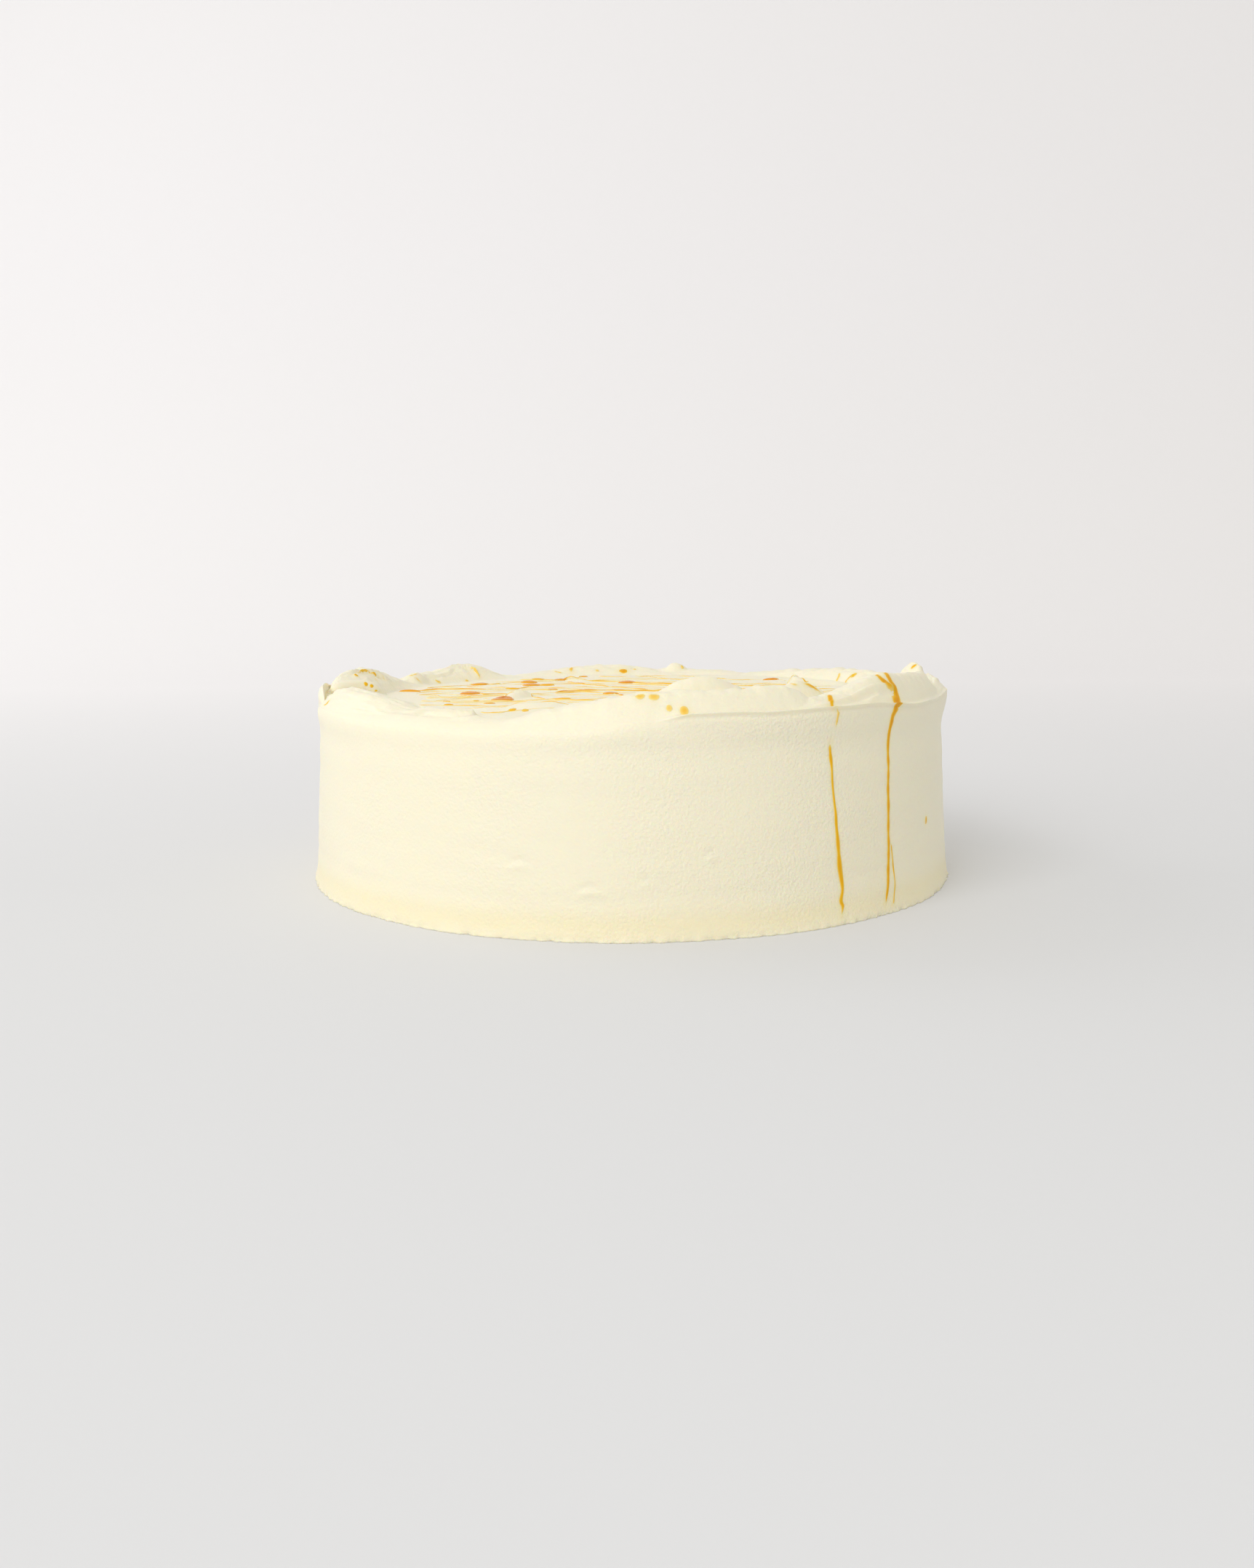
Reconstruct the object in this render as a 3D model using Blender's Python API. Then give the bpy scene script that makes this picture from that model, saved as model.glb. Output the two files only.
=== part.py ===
"""Yuzu cheesecake: one round uncut cake under a coat of cream.

The wall is scraped smooth and tapers a little. The cream that the scraper pushed up is folded in over
the top in overlapping swoops, which leave a wavy rim round a flat middle. Yuzu sauce is drizzled across
it in thin strands and drops, and two strands run down the wall. Cake, cream and sauce are one solid.

Lengths here are millimetres and angles are degrees, and the mesh is made in metres. The origin is the
centre of the foot. An angle is counted from the front (-Y) towards the right (+X).
"""

from collections import namedtuple

import bpy
import numpy as np

MM = 0.001

# The cream-covered cake
FOOT_RADIUS = 108.2
TOP_RADIUS = 105.7
FLAT_HEIGHT = 60.0
TAPER_HEIGHT = 54.0
TAPER_POWER = 1.3
FOOT_FLARE = 1.0
FOOT_FLARE_HEIGHT = 2.5
EAVES_START = 48.0
EAVES_HEIGHT = 14.0

# How the top edge wanders out of round: lobes round the edge, reach and turn of each wave
EDGE_WAVES = ((3, 0.35, 0.6), (7, 0.20, 2.0))
# Where it leans out past the wall: angle, reach and spread
EDGE_BULGES = ((84, 1.8, 13), (-86, 1.0, 13))

# The edge between wall and top: angle, height, and how round it is (0 a crisp crease, 1 a soft shoulder)
EDGE_STATIONS = (
    (-180, 61.5, 0.6),
    (-150, 60.0, 0.7),
    (-120, 61.5, 0.5),
    (-100, 61.0, 0.8),
    (-80, 60.0, 1.0),
    (-30, 59.5, 1.0),
    (-10, 60.5, 1.0),
    (4, 62.6, 0.6),
    (14, 63.7, 0.0),
    (42, 63.7, 0.0),
    (49, 62.8, 0.0),
    (57, 61.8, 0.0),
    (66, 61.6, 0.2),
    (80, 62.9, 0.5),
    (98, 63.0, 0.6),
    (130, 61.5, 0.6),
    (150, 60.5, 0.5),
    (166, 59.5, 0.6),
)
EDGE_WIDTH = 7.0
CRISP_POWER = 1.7

# The low waves that the spatula leaves on the flat: reach, and radians per mm and starting phase along X and Y
FLAT_WAVES = ((0.25, 1 / 17, 1.1, 1 / 21, 2.0), (0.15, 1 / 9, 0.0, 1 / 9, 1.6))

# One stroke of the spatula leaves a ridge of cream from start to finish, both given as (angle, radius).
# rise is its height over the flat at the start, at the crest and at the finish, crest is where along it the
# crest lies, inner and outer are its widths towards and away from the middle, and steep shapes its flanks:
# 0.5 stands up like a roll, 2 fades out.
Stroke = namedtuple("Stroke", "name start finish rise crest inner outer steep")
STROKES = (
    Stroke("left_curl", (-97, 105), (-84, 106), (1.0, 4.4, 3.6), 0.60, 3, 2.5, 0.9),
    Stroke("front_left", (-83, 100), (-40, 93), (2.6, 5.8, 1.2), 0.42, 14, 9, 1.3),
    Stroke("front_sweep", (-60, 92), (-4, 92), (2.6, 1.5, 2.0), 0.50, 11, 14, 1.2),
    Stroke("front_layer", (-22, 96), (22, 98), (0.6, 9.7, 9.2), 0.72, 8, 13, 1.1),
    Stroke("front_layer_end", (17, 98), (27, 97), (9.2, 10.0, 9.2), 0.55, 7, 10, 0.8),
    Stroke("front_mound", (1, 89), (19, 88), (5.0, 13.4, 10.4), 0.66, 9, 8, 1.0),
    Stroke("front_band", (20, 100), (46, 100), (5.4, 5.9, 5.8), 0.50, 9, 12, 1.0),
    Stroke("inner_lobe", (31, 87), (40, 86), (7.6, 8.2, 6.6), 0.40, 9, 6, 1.0),
    Stroke("right_mound", (38, 98), (67, 101), (6.6, 10.8, 9.8), 0.45, 12, 9, 0.9),
    Stroke("right_shelf", (70, 103), (98, 103), (3.6, 4.2, 3.6), 0.50, 10, 6, 0.8),
    Stroke("right_knob", (93, 101), (101, 100), (6.4, 8.6, 6.4), 0.50, 4.5, 4.5, 0.8),
    Stroke("right_back", (104, 98), (131, 98), (3.6, 4.6, 3.6), 0.45, 9, 9, 1.1),
    Stroke("right_back_low", (122, 98), (148, 98), (3.4, 3.2, 1.0), 0.40, 8, 9, 1.2),
    Stroke("back_spike", (166, 98), (171.5, 97), (1.5, 4.3, 2.4), 0.60, 5, 7, 1.0),
    Stroke("back_right", (150, 99), (178, 98), (0.0, 1.8, 1.3), 0.50, 8, 8, 1.2),
    Stroke("back_middle", (-188, 97), (-156, 98), (1.2, 3.5, 1.0), 0.45, 10, 9, 1.2),
    Stroke("back_left", (-147, 97), (-122, 98), (1.0, 5.2, 3.2), 0.35, 10, 8, 1.0),
    Stroke("left_join", (-122, 94), (-117, 92), (3.6, 5.0, 3.6), 0.50, 5, 6, 1.1),
    Stroke("left_swoop", (-116, 97), (-91, 100), (1.5, 8.2, 6.6), 0.62, 13, 8, 1.0),
    Stroke("left_roll", (-86, 102), (-91.5, 91), (3.4, 6.0, 5.2), 0.60, 6, 6, 0.7),
    Stroke("flat_swell", (-38, 64), (-14, 52), (0.8, 2.9, 0.6), 0.40, 8, 12, 1.5),
)
STROKE_STEPS = 18

# Body grid: sectors round the cake, wall rows as shares of its height, rim rows as distances in from the
# edge, and flat rows as radii
SECTORS = 144
WALL_ROWS = (0.0, 0.03, 0.10, 0.35, 0.70, 0.90)
RIM_ROWS = (0.0, 1.0, 2.4, 4.2, 6.2, 8.6, 11.2, 14.0, 17.0, 20.2, 23.6, 27.4)
FLAT_ROWS = (71.0, 62.0, 50.0, 30.0)

# Sauce on the flat: strands through these (x, y) points, and drops as (x, y, width, length, turn)
STRAND_WIDTH = 1.1
STRANDS = (
    ((-83, 0), (-76, 6), (-71, 18), (-60, 24), (-44, 26), (-31, 37), (-22, 52), (-19, 76)),
    ((-77, -6), (-69, -8), (-62, -10), (-53, -5), (-41, 0), (-35, 6), (-14, 6), (-5, 3), (12, 2), (40, 6)),
    ((-69, -34), (-64, -25), (-51, -20), (-46, -12), (-44, -5)),
    ((-40, 15), (-37, 5), (-33, -8), (-22, -18), (-5, -29), (22, -44)),
    ((-24, 70), (-24, 57), (-16, 46), (-5, 29), (8, 14), (26, 2), (48, -16), (66, -26)),
    ((-26, 7), (-16, 15), (9, 17), (30, 24), (42, 31), (58, 31), (70, 38), (80, 40)),
    ((-57, 46), (-38, 54), (-12, 61), (-1, 48), (15, 39), (30, 44), (46, 58), (60, 56), (68, 45), (78, 28)),
    ((-11, 12), (-6, 2), (0, -15), (8, -30), (4, -52)),
    ((-45, -61), (-42, -65), (-37, -57), (-20, -56), (10, -62), (38, -58)),
)
DROPS = (
    (-55.5, 4.0, 7.0, 8.5, 80),
    (-42.5, -19.0, 6.4, 9.5, -60),
    (-84.0, -1.0, 4.6, 7.0, 30),
    (-56.5, 44.5, 6.6, 8.0, 10),
    (-38.0, 51.0, 5.6, 7.0, 20),
    (-36.0, 37.0, 6.0, 8.0, -10),
    (-27.0, 63.0, 4.8, 7.0, 60),
    (-1.5, 46.0, 6.6, 7.4, 0),
    (-6.5, 2.0, 4.2, 8.0, -65),
    (-23.0, 10.5, 3.6, 5.0, 40),
    (-28.0, 17.5, 3.6, 4.4, 70),
    (-76.0, -6.5, 4.6, 3.2, 0),
    (54.5, 58.0, 6.0, 6.6, 0),
    (60.0, 31.5, 3.6, 5.0, 0),
    (30.0, -10.0, 5.4, 6.4, 30),
    (44.0, 12.0, 4.2, 5.4, -40),
    (-10.0, -44.0, 4.6, 5.6, 15),
)

# Sauce on the rim, placed by (angle, distance in from the edge, width, length, turn)
RIM_DROPS = (
    (10.0, 2.6, 2.6, 2.8, 0),
    (7.7, 3.6, 1.8, 2.2, 0),
    (4.6, 8.6, 3.4, 2.6, 0),
    (2.2, 9.6, 2.8, 2.6, 0),
    (-88.5, 12.0, 2.0, 2.6, 0),
    (-89.5, 15.0, 1.8, 2.4, 0),
    (-93.0, 9.0, 2.4, 3.0, 30),
    (-142.0, 11.0, 2.2, 3.4, 20),
    (-165.0, 11.0, 2.6, 3.4, 0),
    (179.5, 10.5, 4.0, 3.4, 0),
    (124.0, 10.0, 2.8, 3.0, 0),
    (100.5, 5.6, 2.6, 2.0, 0),
)

# Sauce over the rim and down the wall: width and points as (angle, distance in from the edge).
# A distance under zero is a depth below the edge.
Run = namedtuple("Run", "name width path")
RUNS = (
    Run("run_right", 2.4, ((47.5, 10), (46.8, 4.5), (46.3, 0), (45.4, -5.0), (44.9, -9.5))),
    Run("run_right_low", 1.5, ((44.9, -8.5), (45.5, -20), (45.8, -40), (46.0, -52), (46.3, -61.5))),
    Run("run_right_feeder", 1.6, ((42.3, 9.0), (44.3, 6.4), (46.6, 3.2))),
    Run("run_left_rim", 1.6, ((30.2, 10.0), (31.6, 5.0), (32.7, 0.4), (32.9, -5.0))),
    Run("run_left", 1.4, ((32.0, -10.3), (32.7, -22), (33.5, -35), (34.1, -44), (34.9, -54), (34.7, -61.5))),
    Run("wall_drop", 1.4, ((59.5, -36.2), (59.5, -38.4))),
)
RUN_STEP = 3.6
STRAND_STEP = 6.0

# How far sauce stands out of the cream and reaches into it, how narrow a strand ends, and a drop's shape: its
# sides, its shoulder as shares of its size and of PROUD, and its top as a share of PROUD
PROUD = 0.55
SUNK = 0.9
END_SHARE = 0.35
DROP_SIDES = 9
SHOULDER_SIZE = 0.72
SHOULDER_HEIGHT = 0.7
DROP_TOP = 1.3

# How far to each side of a point the cream's outward direction is measured
FRAME_REACH = 1.5

CREAM_COLOUR = (0.93, 0.87, 0.66)
CREAM_ROUGHNESS = 0.55


def ring_value(angle, column):
    """The edge stations' column at each angle: eased from one station to the next, all the way round."""
    stations = np.array(EDGE_STATIONS + ((EDGE_STATIONS[0][0] + 360,) + EDGE_STATIONS[0][1:],), float)
    turned = np.mod(angle + 180, 360) - 180
    index = np.clip(np.searchsorted(stations[:, 0], turned, side="right") - 1, 0, len(stations) - 2)
    low, high = stations[index], stations[index + 1]
    share = (turned - low[..., 0]) / (high[..., 0] - low[..., 0])
    share = share * share * (3 - 2 * share)
    return low[..., column] + (high[..., column] - low[..., column]) * share


def edge_radius(angle):
    """The top radius, plus a few waves round the cake and the bulges where the rim leans out."""
    radius = np.full(np.shape(angle), TOP_RADIUS)
    for lobes, reach, turn in EDGE_WAVES:
        radius = radius + reach * np.sin(lobes * np.radians(angle) + turn)
    for middle, reach, spread in EDGE_BULGES:
        away = np.mod(angle - middle + 180, 360) - 180
        radius = radius + reach * np.exp(-((away / spread) ** 2))
    return radius


def wall_radius(angle, height):
    """A taper from the foot, a small flare at the foot, and eaves that lean out to the edge radius."""
    taper = np.clip((TAPER_HEIGHT - height) / TAPER_HEIGHT, 0, 1) ** TAPER_POWER
    radius = TOP_RADIUS + (FOOT_RADIUS - TOP_RADIUS) * taper
    radius = radius + FOOT_FLARE * np.exp(-height / FOOT_FLARE_HEIGHT)
    lean = np.clip((height - EAVES_START) / EAVES_HEIGHT, 0, 1) ** 2
    return radius + (edge_radius(angle) - TOP_RADIUS) * lean


def stroke_height(stroke, x, y):
    """Rise along the stroke times (1 - (distance / width)^2)^steep, from the nearest point of its spiral."""
    share = np.linspace(0, 1, STROKE_STEPS + 1)
    angle = np.radians(stroke.start[0] + (stroke.finish[0] - stroke.start[0]) * share)
    radius = stroke.start[1] + (stroke.finish[1] - stroke.start[1]) * share
    path_x, path_y = radius * np.sin(angle), -radius * np.cos(angle)
    nearest = np.full(x.shape, np.inf)
    along = np.zeros(x.shape)
    side = np.zeros(x.shape)
    for step in range(STROKE_STEPS):
        step_x, step_y = path_x[step + 1] - path_x[step], path_y[step + 1] - path_y[step]
        to_x, to_y = x - path_x[step], y - path_y[step]
        part = np.clip((to_x * step_x + to_y * step_y) / (step_x**2 + step_y**2), 0, 1)
        off_x, off_y = to_x - part * step_x, to_y - part * step_y
        distance = np.hypot(off_x, off_y)
        closer = distance < nearest
        nearest = np.where(closer, distance, nearest)
        along = np.where(closer, (step + part) / STROKE_STEPS, along)
        side = np.where(closer, off_x * step_y - off_y * step_x, side)
    onwards = stroke.finish[0] >= stroke.start[0]
    width = np.where((side < 0) == onwards, stroke.inner, stroke.outer)
    first, crest, last = stroke.rise
    climb = np.sin(np.clip(along / stroke.crest, 0, 1) * np.pi / 2)
    fall = np.cos(np.clip((along - stroke.crest) / (1 - stroke.crest), 0, 1) * np.pi / 2)
    rise = np.where(along < stroke.crest, first + (crest - first) * climb, last + (crest - last) * fall)
    return rise * (1 - np.clip(nearest / width, 0, 1) ** 2) ** stroke.steep


def top_height(x, y):
    """The flat and its waves, with the highest stroke at each point on it, drawn down to meet the edge."""
    height = np.zeros(x.shape)
    for stroke in STROKES:
        height = np.maximum(height, stroke_height(stroke, x, y))
    for reach, turn_x, phase_x, turn_y, phase_y in FLAT_WAVES:
        height = height + reach * np.sin(x * turn_x + phase_x) * np.sin(y * turn_y + phase_y)
    angle = np.degrees(np.arctan2(x, -y))
    edge = ring_value(angle, 1)
    inward = np.clip((edge_radius(angle) - np.hypot(x, y)) / EDGE_WIDTH, 0, 1)
    crisp = 1 - (1 - inward) ** CRISP_POWER
    soft = np.sqrt(1 - (1 - inward) ** 2)
    blend = crisp + (soft - crisp) * ring_value(angle, 2)
    return edge + (FLAT_HEIGHT + height - edge) * blend


def skin(angle, inward):
    """Points of the cream: inward is the distance in from the edge over the top, or minus the depth below it."""
    angle, inward = np.broadcast_arrays(np.asarray(angle, float), np.asarray(inward, float))
    turn = np.radians(angle)
    edge = ring_value(angle, 1)
    top_radius = edge_radius(angle) - np.maximum(inward, 0)
    top = top_height(top_radius * np.sin(turn), -top_radius * np.cos(turn))
    wall_height = edge + np.minimum(inward, 0)
    radius = np.where(inward < 0, wall_radius(angle, wall_height), top_radius)
    height = np.where(inward < 0, wall_height, top)
    return np.stack([radius * np.sin(turn), -radius * np.cos(turn), height], axis=-1)


def unit(vectors):
    return vectors / np.linalg.norm(vectors, axis=-1, keepdims=True)


def mesh_object(name, points, faces):
    mesh = bpy.data.meshes.new(name)
    mesh.from_pydata((np.asarray(points) * MM).tolist(), [], [list(face) for face in faces])
    mesh.validate()
    return bpy.data.objects.new(name, mesh)


def rows_closed(count, around):
    """Triangles between closed rows of points, every row around points long, with their outsides out."""
    faces = []
    for row in range(count - 1):
        for column in range(around):
            following = (column + 1) % around
            low, low_next = row * around + column, row * around + following
            high, high_next = low + around, low_next + around
            faces += [(low, low_next, high_next), (low, high_next, high)]
    return faces


def cream_body():
    """The coat of cream on a grid: rows up the wall, over the rim and across the flat, then both ends shut."""
    angle = np.linspace(-180, 180, SECTORS, endpoint=False)
    edge_height = ring_value(angle, 1)
    rows = [skin(angle, -edge_height * (1 - share)) for share in WALL_ROWS]
    rows += [skin(angle, inward) for inward in RIM_ROWS]
    rows += [skin(angle, edge_radius(angle) - radius) for radius in FLAT_ROWS]
    rows[0][:, 2] = 0
    faces = rows_closed(len(rows), SECTORS)
    last = (len(rows) - 1) * SECTORS
    foot, top = last + SECTORS, last + SECTORS + 1
    for column in range(SECTORS):
        following = (column + 1) % SECTORS
        faces += [(foot, following, column), (top, last + column, last + following)]
    origin = np.zeros(1)
    centre = [[0, 0, 0], [0, 0, top_height(origin, origin)[0]]]
    return mesh_object("cake", np.concatenate([*rows, centre]), faces)


def smooth_path(points, step):
    """A Catmull-Rom curve through the points, sampled about every step."""
    points = np.asarray(points, float)
    padded = np.concatenate([2 * points[:1] - points[1:2], points, 2 * points[-1:] - points[-2:-1]])
    pieces = []
    for index in range(len(points) - 1):
        before, start, finish, after = padded[index : index + 4]
        count = max(1, int(round(np.linalg.norm(finish - start) / step)))
        share = np.linspace(0, 1, count, endpoint=False)[:, None]
        pieces.append(
            0.5
            * (
                2 * start
                + (finish - before) * share
                + (2 * before - 5 * start + 4 * finish - after) * share**2
                + (3 * start - before - 3 * finish + after) * share**3
            )
        )
    return np.concatenate([*pieces, points[-1:]])


def ribbon(name, middle, outward, width):
    """A bead of sauce along a path: a low three-sided bar, its edges sunk and its ends drawn in to points."""
    along = unit(np.gradient(middle, axis=0))
    across = unit(np.cross(along, outward))
    to_end = np.minimum(np.arange(len(middle)), np.arange(len(middle))[::-1])
    taper = np.minimum(1, END_SHARE + to_end)[:, None]
    half = width / 2 * taper
    left = middle - across * half - outward * SUNK
    right = middle + across * half - outward * SUNK
    crest = middle + outward * PROUD * taper
    points = np.stack([left, crest, right], axis=1).reshape(-1, 3)
    faces = rows_closed(len(middle), 3)
    last = len(points) - 3
    faces += [(0, 2, 1), (last, last + 1, last + 2)]
    return mesh_object(name, points, faces)


def dome(name, centre, outward, across, width, length):
    """A drop of sauce: a low dome on an oval base that is sunk into the cream."""
    onward = np.cross(outward, across)
    turn = np.linspace(0, 2 * np.pi, DROP_SIDES, endpoint=False)[:, None]
    oval = across * np.cos(turn) * width / 2 + onward * np.sin(turn) * length / 2
    base = centre + oval - outward * SUNK
    shoulder = centre + oval * SHOULDER_SIZE + outward * PROUD * SHOULDER_HEIGHT
    ends = [centre - outward * SUNK, centre + outward * PROUD * DROP_TOP]
    points = np.concatenate([base, shoulder, ends])
    faces = rows_closed(2, DROP_SIDES)
    foot, top = 2 * DROP_SIDES, 2 * DROP_SIDES + 1
    for column in range(DROP_SIDES):
        following = (column + 1) % DROP_SIDES
        faces += [(foot, following, column), (top, DROP_SIDES + column, DROP_SIDES + following)]
    return mesh_object(name, points, faces)


def skin_frame(angle, inward):
    """Points on the cream with their outward directions, from the cream a little way to each side."""
    turn = np.degrees(FRAME_REACH / TOP_RADIUS)
    along_edge = skin(angle + turn, inward) - skin(angle - turn, inward)
    up_wall = skin(angle, inward + FRAME_REACH) - skin(angle, inward - FRAME_REACH)
    return skin(angle, inward), unit(np.cross(along_edge, up_wall))


def flat_frame(x, y):
    """Points on the top with straight up as their outward direction."""
    points = np.stack([x, y, top_height(x, y)], axis=-1)
    return points, np.broadcast_to([0.0, 0.0, 1.0], points.shape)


def sauce_parts():
    """The strands, drops and runs of sauce, each a closed solid that reaches into the cream."""
    parts = []
    for number, path in enumerate(STRANDS):
        x, y = smooth_path(path, STRAND_STEP).T
        middle, outward = flat_frame(x, y)
        parts.append(ribbon(f"strand_{number}", middle, outward, STRAND_WIDTH))
    for number, (x, y, width, length, turn) in enumerate(DROPS):
        centre, outward = flat_frame(np.array(x), np.array(y))
        across = np.array([np.cos(np.radians(turn)), np.sin(np.radians(turn)), 0])
        parts.append(dome(f"drop_{number}", centre, outward, across, width, length))
    for number, (angle, inward, width, length, turn) in enumerate(RIM_DROPS):
        centre, outward = skin_frame(np.array(float(angle)), np.array(float(inward)))
        level = np.radians(angle + turn)
        across = unit(np.cross(outward, np.cross([np.cos(level), np.sin(level), 0.0], outward)))
        parts.append(dome(f"rim_drop_{number}", centre, outward, across, width, length))
    for run in RUNS:
        path = np.array(run.path, float) * [np.radians(1) * TOP_RADIUS, 1]
        arc, inward = smooth_path(path, RUN_STEP).T
        middle, outward = skin_frame(np.degrees(arc / TOP_RADIUS), inward)
        parts.append(ribbon(run.name, middle, outward, run.width))
    return parts


def fuse(body, parts):
    """Joins the parts to the body with one Boolean union, applies it and takes the parts away."""
    collection = bpy.data.collections.new("sauce")
    bpy.context.scene.collection.children.link(collection)
    for part in parts:
        collection.objects.link(part)
    union = body.modifiers.new("fused_sauce", "BOOLEAN")
    union.operation = "UNION"
    union.operand_type = "COLLECTION"
    union.collection = collection
    union.solver = "EXACT"
    bpy.context.view_layer.update()
    fused = bpy.data.meshes.new_from_object(body.evaluated_get(bpy.context.evaluated_depsgraph_get()))
    body.modifiers.clear()
    body.data = fused
    for part in parts:
        bpy.data.objects.remove(part)
    bpy.data.collections.remove(collection)


def cream_material():
    material = bpy.data.materials.new("cream")
    material.use_nodes = True
    shader = material.node_tree.nodes["Principled BSDF"]
    shader.inputs["Base Color"].default_value = (*CREAM_COLOUR, 1)
    shader.inputs["Roughness"].default_value = CREAM_ROUGHNESS
    shader.inputs["Metallic"].default_value = 0
    return material


def main():
    for leftover in list(bpy.data.objects):
        bpy.data.objects.remove(leftover)
    cake = cream_body()
    bpy.context.scene.collection.objects.link(cake)
    fuse(cake, sauce_parts())
    cake.data.name = "cake"
    cake.data.materials.clear()
    cake.data.materials.append(cream_material())
    cake.data.shade_smooth()


main()
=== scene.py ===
"""Yuzu cheesecake: the looks of a round cake under whipped cream, with yuzu sauce drizzled over it.

The script builds the cream coat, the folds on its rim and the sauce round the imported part, then a pale stage
with soft light and the camera. Lengths in its tables are millimetres and angles are degrees, counted from the
front (-Y) towards the right (+X). Meshes are made in metres, and the origin is the centre of the foot.
"""

import math
from collections import namedtuple

import bpy
import numpy as np
from bpy.props import FloatProperty, FloatVectorProperty, PointerProperty
from mathutils import Matrix, Vector


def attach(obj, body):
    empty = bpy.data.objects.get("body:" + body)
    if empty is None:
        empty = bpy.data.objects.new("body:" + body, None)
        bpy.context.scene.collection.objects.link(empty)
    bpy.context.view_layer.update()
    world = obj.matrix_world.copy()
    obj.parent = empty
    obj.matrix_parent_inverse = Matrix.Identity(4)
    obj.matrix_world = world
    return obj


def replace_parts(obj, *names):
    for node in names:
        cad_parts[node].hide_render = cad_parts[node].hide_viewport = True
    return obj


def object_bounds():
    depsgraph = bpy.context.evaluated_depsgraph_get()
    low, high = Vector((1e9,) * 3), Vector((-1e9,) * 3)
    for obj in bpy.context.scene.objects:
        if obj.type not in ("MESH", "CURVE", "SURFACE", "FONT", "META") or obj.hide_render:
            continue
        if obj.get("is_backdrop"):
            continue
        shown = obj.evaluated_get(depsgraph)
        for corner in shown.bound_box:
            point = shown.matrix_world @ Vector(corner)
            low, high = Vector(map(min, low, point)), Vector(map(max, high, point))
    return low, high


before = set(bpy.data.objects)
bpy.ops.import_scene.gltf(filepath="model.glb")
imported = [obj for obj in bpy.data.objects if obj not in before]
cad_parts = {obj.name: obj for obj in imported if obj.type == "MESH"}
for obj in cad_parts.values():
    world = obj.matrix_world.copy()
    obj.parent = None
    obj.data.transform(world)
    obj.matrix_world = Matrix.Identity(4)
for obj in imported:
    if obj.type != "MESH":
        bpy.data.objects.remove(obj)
CAD_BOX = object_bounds()

bl_info = {
    "name": "Yuzu cheesecake",
    "version": (1, 0, 0),
    "blender": (4, 5, 0),
    "location": "3D View > Sidebar > Yuzu cake",
    "description": "Cream coat, rim folds and yuzu sauce of a round cheesecake",
    "category": "Add Mesh",
}

MM = 0.001
NODE = "cake"
BODY = "root"

# The cream coat, as in the part's source
FOOT_RADIUS = 108.2
TOP_RADIUS = 105.7
FLAT_HEIGHT = 60.0
TAPER_HEIGHT = 54.0
TAPER_POWER = 1.3
FOOT_FLARE = 1.0
FOOT_FLARE_HEIGHT = 2.5
OUTER_RADIUS = 109.19
EAVES_START = 48.0
EAVES_HEIGHT = 14.0

# How the top edge wanders out of round and the crease in height: lobes round the cake, reach and turn
EDGE_WAVES = ((3, 0.35, 0.6), (7, 0.20, 2.0))
CREASE_WAVER = ((11, 0.16, 0.5), (23, 0.10, 1.9), (47, 0.05, 0.2))
# The share of the crease's waver that a soft shoulder loses
SHOULDER_CALM = 0.6
# Where the top edge leans out past the wall: angle, reach and spread
EDGE_BULGES = ((84, 2.9, 12), (-86, 1.8, 13), (30, 0.5, 26))

# The edge between wall and top: angle, height, and how round it is (0 a crisp crease, 1 a soft shoulder)
EDGE_STATIONS = (
    (-180, 61.5, 0.6),
    (-150, 60, 0.7),
    (-120, 61.5, 0.5),
    (-100, 61, 0.8),
    (-80, 60, 1),
    (-30, 59.5, 1),
    (-10, 60.5, 1),
    (3, 62.3, 0.7),
    (9, 63.5, 0),
    (14, 63.7, 0),
    (42, 63.7, 0),
    (49, 62.8, 0),
    (57, 61.8, 0),
    (66, 61.6, 0.2),
    (80, 62.9, 0.5),
    (98, 63, 0.6),
    (130, 61.5, 0.6),
    (150, 60.5, 0.5),
    (166, 59.5, 0.6),
)
EDGE_WIDTH = 7.0
CRISP_POWER = 1.7
# A soft shoulder is rounded off over this reach, and its edge dropped by this much
ROUND_REACH = 5.5
ROUND_DROP = 4.0
# The thin lip that the scraper leaves along a crisp crease: its size, width, and its shares outwards and up
LIP_SIZE = 0.55
LIP_WIDTH = 0.34
LIP_SHARES = (0.8, 0.4)
# The crevices that set it off: distance from the edge, width, and depths out of the wall and the top
CREVICES = ((0.95, 0.45, 0.0, 0.45), (-1.05, 0.6, 0.32, 0.0))

# The flat's low waves: reach, then radians per mm and starting phase along X and along Y
FLAT_WAVES = ((0.25, 1 / 17, 1.1, 1 / 21, 2.0), (0.15, 1 / 9, 0.0, 1 / 9, 1.6))
# The spatula's last pass over the flat: the centre that it swung round, and its lines' depth, spacing, length
# and seed
SWEEP_CENTRE = (-60, 150)
SWEEP_DEPTH = 0.07
SWEEP_SPACING = 1.6
SWEEP_LENGTH = 60
SWEEP_SEED = 40

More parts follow.
